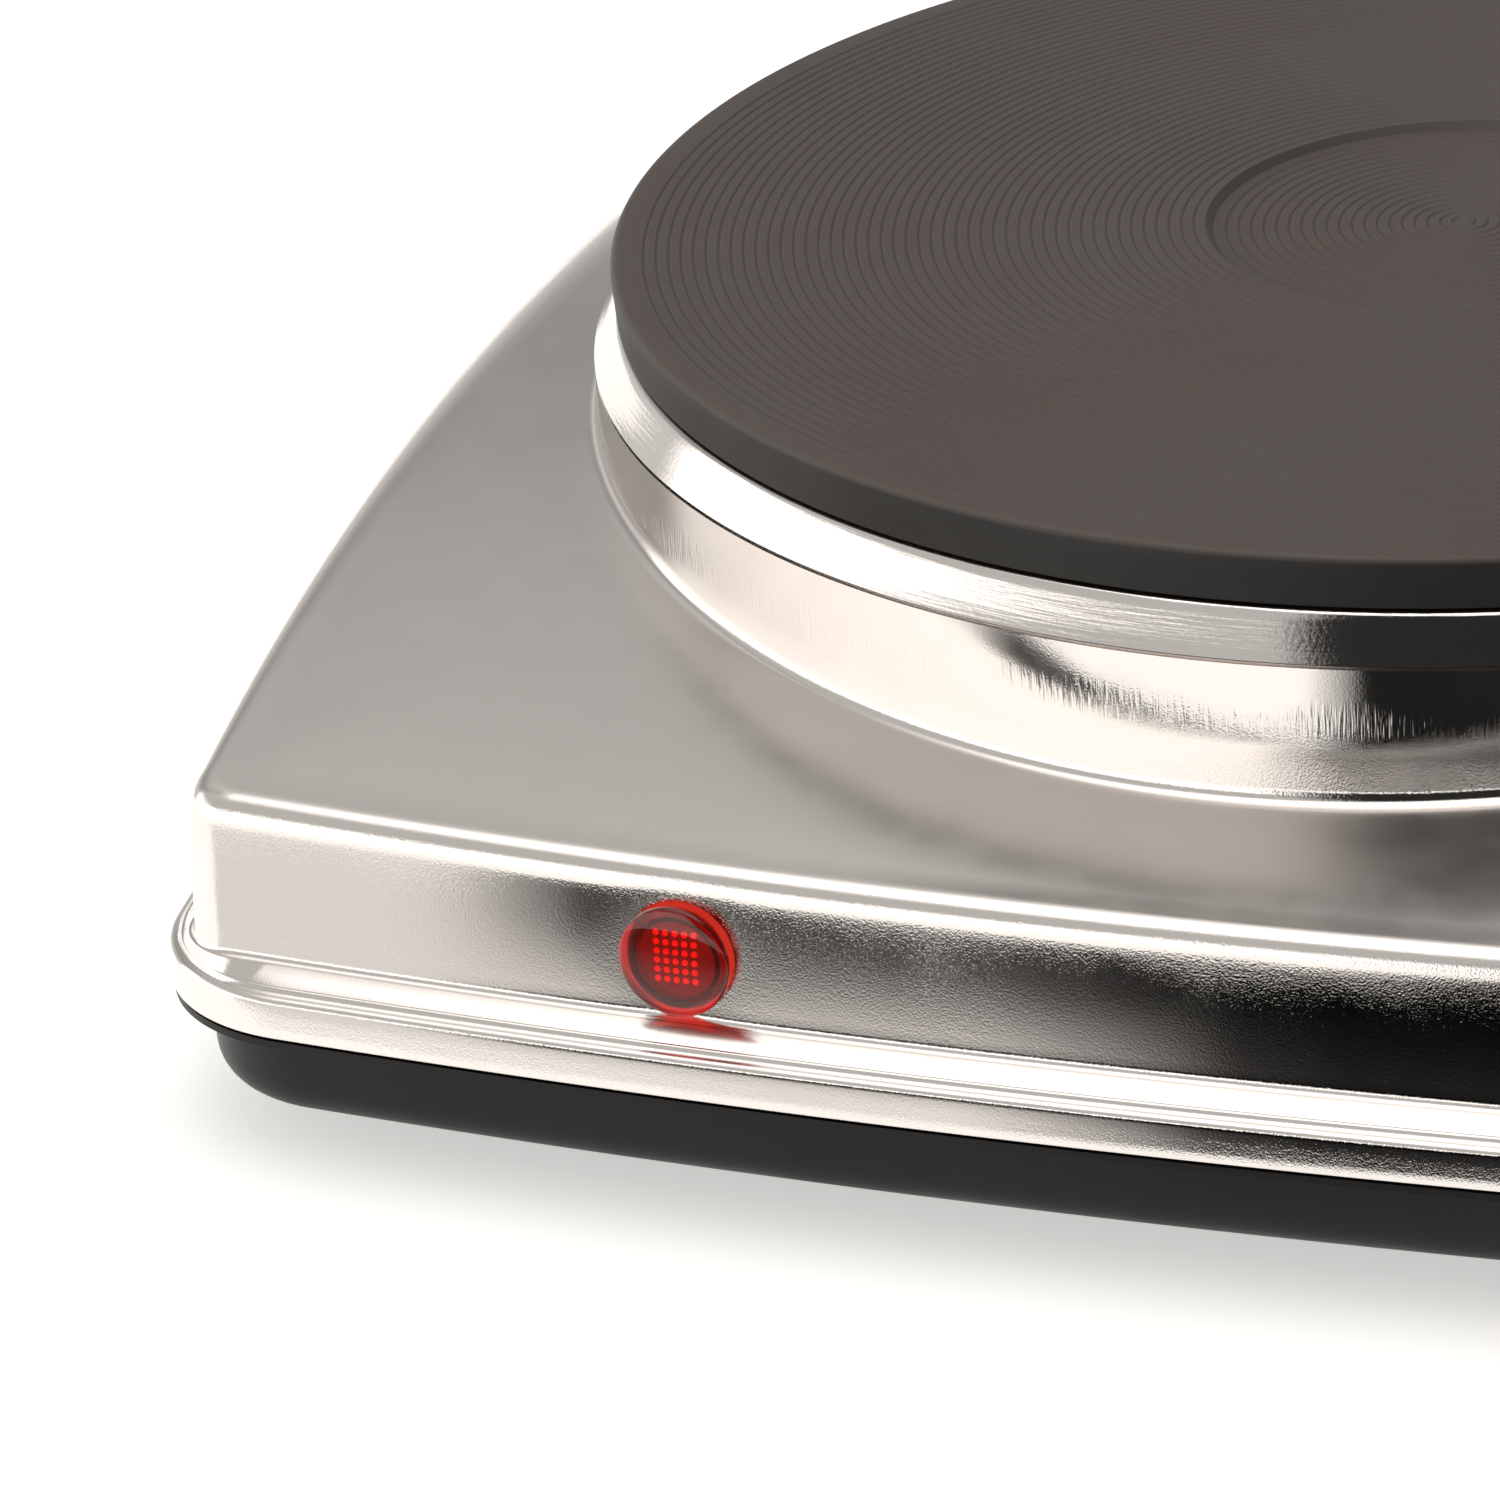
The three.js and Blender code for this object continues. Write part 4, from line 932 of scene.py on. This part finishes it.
def build_window(place):
    """The prism face behind the dome, with its grid of dimples."""
    given = sizes()
    radius = given.lens_body - 0.8 * MM
    depth = -1.2 * MM
    rows = [(radius, depth - 0.5 * MM), (radius, depth), (radius - 0.2 * MM, depth + 0.05 * MM)]
    face = turned("lamp_prism", rows, 64, first_pole=True, last_pole=True)
    move_mesh(face, place)
    # painted light: the prism's faint emission stands in for daylight through the lens
    finish_piece(face, "housing", ["lamp_lens"], red_reflector("lens_back", "#8A1A10", 0.2), 30)
    first = dimple()
    dimples = []
    for column in range(given.dimple_columns):
        for row in range(given.dimple_rows):
            x = (column - (given.dimple_columns - 1) / 2) * given.dimple_pitch - 0.3 * MM
            y = (row - (given.dimple_rows - 1) / 2) * given.dimple_pitch
            spot = copy_of(first, "dimple_spot")
            dimples.append(move_mesh(spot, Matrix.Translation((x, y, depth + 0.06 * MM))))
    bpy.data.objects.remove(first)
    grid = joined("lamp_dimples", dimples)
    move_mesh(grid, place)
    # painted light: the dimples' brighter emission stands in for daylight through the lens
    finish_piece(grid, "housing", ["lamp_lens"], red_reflector("lens_dimples", "#FF5A40", 1.0), 50)


def build_knob():
    given = sizes()
    place = fitting_places(Outline())["knob"]
    back = given.knob_standoff
    face = back + given.knob_depth
    radius = given.knob_radius
    skirt = radius - 0.9 * MM
    crown = radius - 2.0 * MM

    def fluted(reach, height, share):
        depth = given.knob_flute * share / 2
        return lambda angle: (reach - depth * (1 + math.cos(angle * given.knob_flutes)), height)

    inner = radius - 3.8 * MM
    deep = face - 2.6 * MM
    boss = 6 * MM
    bore = 3.3 * MM
    rows = [
        (bore, face - 4.2 * MM), (bore, back + 1 * MM), (boss, back + 1 * MM), (boss, deep),
        (inner - 1 * MM, deep), (inner, back),
        (radius - 0.4 * MM, back), (radius, back + 0.4 * MM),
        (radius, back + 2.2 * MM), (radius - 0.4 * MM, back + 2.6 * MM),
        (skirt - 0.4 * MM, back + 3 * MM), fluted(skirt - 0.6 * MM, back + 3.6 * MM, 0.2),
        *[fluted(skirt - 0.6 * MM + (crown - skirt) * share, back + (3.6 + 10.4 * share) * MM, 1)
          for share in between(0, 1, 6)],
        fluted(crown - 0.9 * MM, face - 1.5 * MM, 0.5), fluted(crown - 1.4 * MM, face - 0.6 * MM, 0.1),
        (crown - 2.0 * MM, face - 0.15 * MM), (crown - 2.8 * MM, face), (crown - 4 * MM, face), (4 * MM, face),
    ]
    piece = turned("fluted_knob", rows, given.knob_flutes * 12, first_pole=True, last_pole=True)
    move_mesh(piece, place)
    groove_place = place @ Matrix.Translation((0, 7.7 * MM, face))
    start_modelling()
    bpy.ops.mesh.primitive_cube_add(size=1.0, scale=(2.0 * MM, 9.8 * MM, 1.6 * MM))
    groove = bpy.context.active_object
    bpy.ops.object.transform_apply(location=True, rotation=True, scale=True)
    drilled(piece, [move_mesh(groove, groove_place)])
    finish_piece(piece, "knob", ["control_knob"], phenolic(), 35)


def build_gland():
    given = sizes()
    place = fitting_places(Outline())["gland"]
    flange = given.gland_radius
    body = given.gland_body
    bore = given.gland_bore
    nose = given.gland_nose
    rows = [
        (bore, -9 * MM), (body, -9 * MM), (body, given.gap),
        (flange - 0.2 * MM, given.gap), (flange, given.gap + 0.2 * MM),
        (flange, 2.0 * MM), (flange - 0.3 * MM, 2.6 * MM), (flange - 1 * MM, 3 * MM),
        (body + 0.2 * MM, 3.05 * MM), (body - 0.1 * MM, 3.4 * MM),
        (body - 0.5 * MM, nose - 0.6 * MM), (body - 0.8 * MM, nose - 0.15 * MM),
        (body - 1.1 * MM, nose), (bore + 0.2 * MM, nose), (bore, nose - 0.3 * MM),
    ]
    piece = turned("nylon_gland", rows, 64, loop=True)
    move_mesh(piece, place)
    finish_piece(piece, "housing", ["cord_gland"], nylon(), 30)


def build_feet():
    rubber = foot_rubber()
    model = None
    for corner in ("front_left", "front_right", "back_left", "back_right"):
        node = f"foot_{corner}"
        low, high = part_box(node)
        radius = (high.x - low.x) / 2
        top = high.z
        if model is None:
            rows = [
                (4.8 * MM, 2.5 * MM), (4.9 * MM, 0.2 * MM), (5.2 * MM, 0), (radius - 1.0 * MM, 0),
                (radius - 0.4 * MM, 0.25 * MM), (radius - 0.05 * MM, 0.9 * MM),
                (radius, 1.2 * MM), (radius, top),
                (2.4 * MM, top), (2.4 * MM, 2.5 * MM),
            ]
            model = turned("foot_model", rows, 72, loop=True)
        foot = copy_of(model, f"rubber_{node}")
        move_mesh(foot, Matrix.Translation((middle(node).x, middle(node).y, 0)))
        finish_piece(foot, "housing", [node], rubber, 30)
    bpy.data.objects.remove(model)


def finish_inner_parts():
    """Gives each carried-over node the procedural finish of its real material."""
    made = {name: (slot, build()) for name, (slot, build) in INNER_FINISHES.items()}
    made["braided_sleeve"] = ("glass_sleeve", braided_sleeve("braided_sleeve", colours().sleeve))
    made["earth_sleeve"] = ("earth_sleeve", braided_sleeve("earth_braid", colours().earth))
    by_slot = {slot: material for slot, material in made.values()}
    by_slot["cast_iron"] = coated_iron()
    by_slot["black_enamel"] = stove_enamel()
    by_slot["foot_rubber"] = foot_rubber()
    by_slot["red_lens"] = red_polycarbonate()
    by_slot["polished_steel"] = by_slot["zinc_steel"]
    for node in frame["nodes"].values():
        for socket in node.material_slots:
            name = socket.material.name.split(".")[0] if socket.material else ""
            if name in by_slot:
                socket.material = by_slot[name]
            else:
                raise RuntimeError(f"{node.name} has the finish {name}, which has no material here")


# ---- Stage -------------------------------------------------------------------------------------

CAMERA_SPOT = Vector((0.2641, AXIS_Y - 0.93448, 0.4537))
CAMERA_YAW = math.radians(20.53)
CAMERA_PITCH = math.radians(24.64)
CAMERA_ROLL = math.radians(-3.31)
CAMERA_LENS = 231.2
CARD_MIDDLE = -0.05
CARD_WIDTH = 0.18
CARD_Y = -0.135


def build_camera():
    data = bpy.data.cameras.new("camera")
    data.lens = CAMERA_LENS
    data.sensor_width = 36.0
    camera = bpy.data.objects.new("camera", data)
    bpy.context.scene.collection.objects.link(camera)
    right = Vector((math.cos(CAMERA_YAW), math.sin(CAMERA_YAW), 0))
    level = math.cos(CAMERA_PITCH)
    ahead = Vector((-math.sin(CAMERA_YAW) * level, math.cos(CAMERA_YAW) * level, -math.sin(CAMERA_PITCH)))
    up = right.cross(ahead)
    tipped_right = right * math.cos(CAMERA_ROLL) + up * math.sin(CAMERA_ROLL)
    tipped_up = up * math.cos(CAMERA_ROLL) - right * math.sin(CAMERA_ROLL)
    turn = Matrix((tipped_right, tipped_up, -ahead)).transposed().to_4x4()
    camera.matrix_world = Matrix.Translation(CAMERA_SPOT) @ turn
    bpy.context.scene.camera = camera


def build_world():
    """A soft studio: bright overhead and to the left, mid grey behind, dark in front on the right."""
    world = bpy.data.worlds.new("studio")
    world.use_nodes = True
    tree = world.node_tree
    tree.nodes.clear()
    point = add_node(tree, "ShaderNodeTexCoord").outputs["Generated"]
    split = add_node(tree, "ShaderNodeSeparateXYZ", {"Vector": point}).outputs
    azimuth = sum_of(tree, split["Y"], split["X"], "ARCTAN2")
    overhead = ranged(tree, split["Z"], 0.80, 0.92, 0.0, 1.0)
    turn = sum_of(tree, azimuth, math.radians(97), "ADD")
    left_front = ranged(tree, turn, math.radians(2), math.radians(-4), 0.0, 1.0)
    low = ranged(tree, split["Z"], 0.40, 0.50, 1.0, 0.36)
    left_back = ranged(tree, azimuth, math.radians(158), math.radians(166), 0.0, 1.0)
    left = sum_of(tree, left_front, left_back, "MAXIMUM")
    back = ranged(tree, split["Y"], 0.0, 0.35, 0.0, 1.0)
    to_left = ranged(tree, split["X"], 0.3, -0.9, 0.30, 0.52)
    dip = sum_of(tree, sum_of(tree, split["Z"], 0.42, "SUBTRACT"), 0.0, "ABSOLUTE")
    waist = ranged(tree, dip, 0.04, 0.26, 0.62, 1.25)
    behind = sum_of(tree, back, sum_of(tree, to_left, waist, "MULTIPLY"), "MULTIPLY")
    panel = sum_of(tree, sum_of(tree, left, low, "MULTIPLY"), 1.5, "MULTIPLY")
    side = sum_of(tree, panel, behind, "MAXIMUM")
    dim = sum_of(tree, side, 0.025, "MAXIMUM")
    level = sum_of(tree, dim, sum_of(tree, overhead, 1.7, "MULTIPLY"), "MAXIMUM")
    background = add_node(tree, "ShaderNodeBackground", {"Strength": level}, {"Color": linear("#FFFCF9")})
    output = add_node(tree, "ShaderNodeOutputWorld")
    tree.links.new(background.outputs[0], output.inputs["Surface"])
    bpy.context.scene.world = world


def build_floor():
    start_modelling()
    bpy.ops.mesh.primitive_plane_add(size=12)
    floor = bpy.context.active_object
    floor.name = "floor"
    made, _, _ = new_material("pale_floor", Base_Color=colours().floor, Roughness=0.9,
                              Emission_Color=colours().floor, Emission_Strength=0.55)
    floor.data.materials.append(made)


def reflection_only(card, material):
    """Shows a card in reflections and nowhere else."""
    card.data.materials.append(material)
    card.visible_camera = False
    card.visible_shadow = False
    card.visible_diffuse = False
    card.visible_transmission = False


def build_reflectors():
    """A low card before the wall, pale at its left and black at its right, and a black flag beside it."""
    start_modelling()
    bpy.ops.mesh.primitive_plane_add(size=1)
    card = bpy.context.active_object
    card.name = "wall_card"
    place = Matrix.Translation((CARD_MIDDLE, CARD_Y, 13.5 * MM)) @ Matrix.Rotation(QUARTER, 4, "X")
    card.data.transform(place @ Matrix.Diagonal((CARD_WIDTH, 25 * MM, 1, 1)))
    reflection_only(card, card_shade())
    start_modelling()
    bpy.ops.mesh.primitive_plane_add(size=1)
    flag = bpy.context.active_object
    flag.name = "floor_flag"
    flag.data.transform(Matrix.Translation((0.24, -0.29, 0.6 * MM)) @ Matrix.Diagonal((0.5, 0.26, 1, 1)))
    reflection_only(flag, flag_shade())


def faded_card(tree, level, cover, output):
    """Light of a given level where the cover is one, and nothing where it is zero."""
    glow = add_node(tree, "ShaderNodeEmission", {"Strength": level}, {"Color": linear("#FFFBF6")})
    clear = add_node(tree, "ShaderNodeBsdfTransparent")
    mixed = add_node(tree, "ShaderNodeMixShader", {0: cover, 1: clear.outputs[0], 2: glow.outputs[0]})
    tree.links.new(mixed.outputs[0], output.inputs["Surface"])


def card_shade():
    """Brightness of the low card over its width and height."""
    made, tree, shader = new_material("wall_card")
    place = add_node(tree, "ShaderNodeSeparateXYZ", {"Vector": object_point(tree)}).outputs
    across, height = place["X"], place["Z"]
    upper = ranged(tree, height, 8 * MM, 19.5 * MM, 0.85, 0.06)
    left = ranged(tree, across, -76 * MM, -97 * MM, 0.0, 1.0)
    to_pale = sum_of(tree, sum_of(tree, 0.8, upper, "SUBTRACT"), left, "MULTIPLY")
    right = ranged(tree, across, -28 * MM, 0.0, 1.0, 0.07)
    darkest = ranged(tree, across, 0.0, 12 * MM, 1.0, 0.4)
    fall = sum_of(tree, right, darkest, "MULTIPLY")
    level = sum_of(tree, sum_of(tree, upper, to_pale), fall, "MULTIPLY")
    cover = ranged(tree, height, 1 * MM, 5 * MM, 0.0, 1.0)
    faded_card(tree, level, cover, tree.nodes["Material Output"])
    tree.nodes.remove(shader)
    return made


def flag_shade():
    """Black, with a soft edge at its left and at the side near the plate."""
    made, tree, shader = new_material("floor_flag")
    place = add_node(tree, "ShaderNodeSeparateXYZ", {"Vector": object_point(tree)}).outputs
    beside = ranged(tree, place["X"], -4 * MM, 18 * MM, 0.0, 1.0)
    near = ranged(tree, place["Y"], -165 * MM, -175 * MM, 0.0, 1.0)
    level = ranged(tree, place["X"], 0.0, 0.3, 0.012, 0.02)
    faded_card(tree, level, sum_of(tree, beside, near, "MULTIPLY"), tree.nodes["Material Output"])
    tree.nodes.remove(shader)
    return made


def build_stage():
    build_camera()
    build_world()
    build_floor()
    build_reflectors()
    scene = bpy.context.scene
    scene.view_settings.view_transform = "Standard"
    scene.view_settings.look = "None"


# ---- Operators and panel -----------------------------------------------------------------------

class HOTPLATE_OT_shell(bpy.types.Operator):
    """Press the polished shell: lip, ledge, wall, arched top face and collar"""
    bl_idname = "hotplate.shell"
    bl_label = "Polished Shell"

    def execute(self, context):
        build_shell()
        return {"FINISHED"}


class HOTPLATE_OT_ring(bpy.types.Operator):
    """Spin the trim ring under the plate"""
    bl_idname = "hotplate.ring"
    bl_label = "Trim Ring"

    def execute(self, context):
        build_ring()
        return {"FINISHED"}


class HOTPLATE_OT_plate(bpy.types.Operator):
    """Turn the grooved cast-iron plate"""
    bl_idname = "hotplate.plate"
    bl_label = "Grooved Plate"

    def execute(self, context):
        build_plate()
        return {"FINISHED"}


class HOTPLATE_OT_pan(bpy.types.Operator):
    """Press the enamelled pan and its vents"""
    bl_idname = "hotplate.pan"
    bl_label = "Enamelled Pan"

    def execute(self, context):
        build_pan()
        return {"FINISHED"}


class HOTPLATE_OT_lamp(bpy.types.Operator):
    """Mould the lamp's red lens and its dimpled prism"""
    bl_idname = "hotplate.lamp"
    bl_label = "Indicator Lamp"

    def execute(self, context):
        build_lamp()
        return {"FINISHED"}


class HOTPLATE_OT_knob(bpy.types.Operator):
    """Mould the fluted control knob"""
    bl_idname = "hotplate.knob"
    bl_label = "Control Knob"

    def execute(self, context):
        build_knob()
        return {"FINISHED"}


class HOTPLATE_OT_gland(bpy.types.Operator):
    """Mould the gland in the back wall"""
    bl_idname = "hotplate.gland"
    bl_label = "Cord Gland"

    def execute(self, context):
        build_gland()
        return {"FINISHED"}


class HOTPLATE_OT_feet(bpy.types.Operator):
    """Mould the four rubber feet"""
    bl_idname = "hotplate.feet"
    bl_label = "Rubber Feet"

    def execute(self, context):
        build_feet()
        return {"FINISHED"}


class HOTPLATE_OT_inner(bpy.types.Operator):
    """Finish the fittings inside the housing"""
    bl_idname = "hotplate.inner"
    bl_label = "Inner Fittings"

    def execute(self, context):
        finish_inner_parts()
        return {"FINISHED"}


class HOTPLATE_OT_stage(bpy.types.Operator):
    """Set up the floor, the studio light and the camera"""
    bl_idname = "hotplate.stage"
    bl_label = "Stage"

    def execute(self, context):
        build_stage()
        return {"FINISHED"}


OPERATORS = (HOTPLATE_OT_stage, HOTPLATE_OT_inner, HOTPLATE_OT_shell, HOTPLATE_OT_ring, HOTPLATE_OT_plate,
             HOTPLATE_OT_pan, HOTPLATE_OT_lamp, HOTPLATE_OT_knob, HOTPLATE_OT_gland, HOTPLATE_OT_feet)


class HOTPLATE_PT_panel(bpy.types.Panel):
    """Lists the operators of the hot plate"""
    bl_idname = "HOTPLATE_PT_panel"
    bl_label = "Hot Plate"
    bl_space_type = "VIEW_3D"
    bl_region_type = "UI"
    bl_category = "Hot Plate"

    def draw(self, context):
        for operator in OPERATORS:
            self.layout.operator(operator.bl_idname)
        for group in (context.scene.hot_plate_sizes, context.scene.hot_plate_colours):
            box = self.layout.box()
            for name in group.bl_rna.properties.keys():
                if name not in ("rna_type", "name"):
                    box.prop(group, name)


CLASSES = (HotPlateSizes, HotPlateColours, *OPERATORS, HOTPLATE_PT_panel)


def register():
    for item in CLASSES:
        bpy.utils.register_class(item)
    bpy.types.Scene.hot_plate_sizes = PointerProperty(type=HotPlateSizes)
    bpy.types.Scene.hot_plate_colours = PointerProperty(type=HotPlateColours)


def unregister():
    del bpy.types.Scene.hot_plate_colours
    del bpy.types.Scene.hot_plate_sizes
    for item in reversed(CLASSES):
        bpy.utils.unregister_class(item)


def main():
    register()
    for operator in OPERATORS:
        group, name = operator.bl_idname.split(".")
        getattr(getattr(bpy.ops, group), name)()
    start_modelling()


if __name__ == "__main__":
    main()
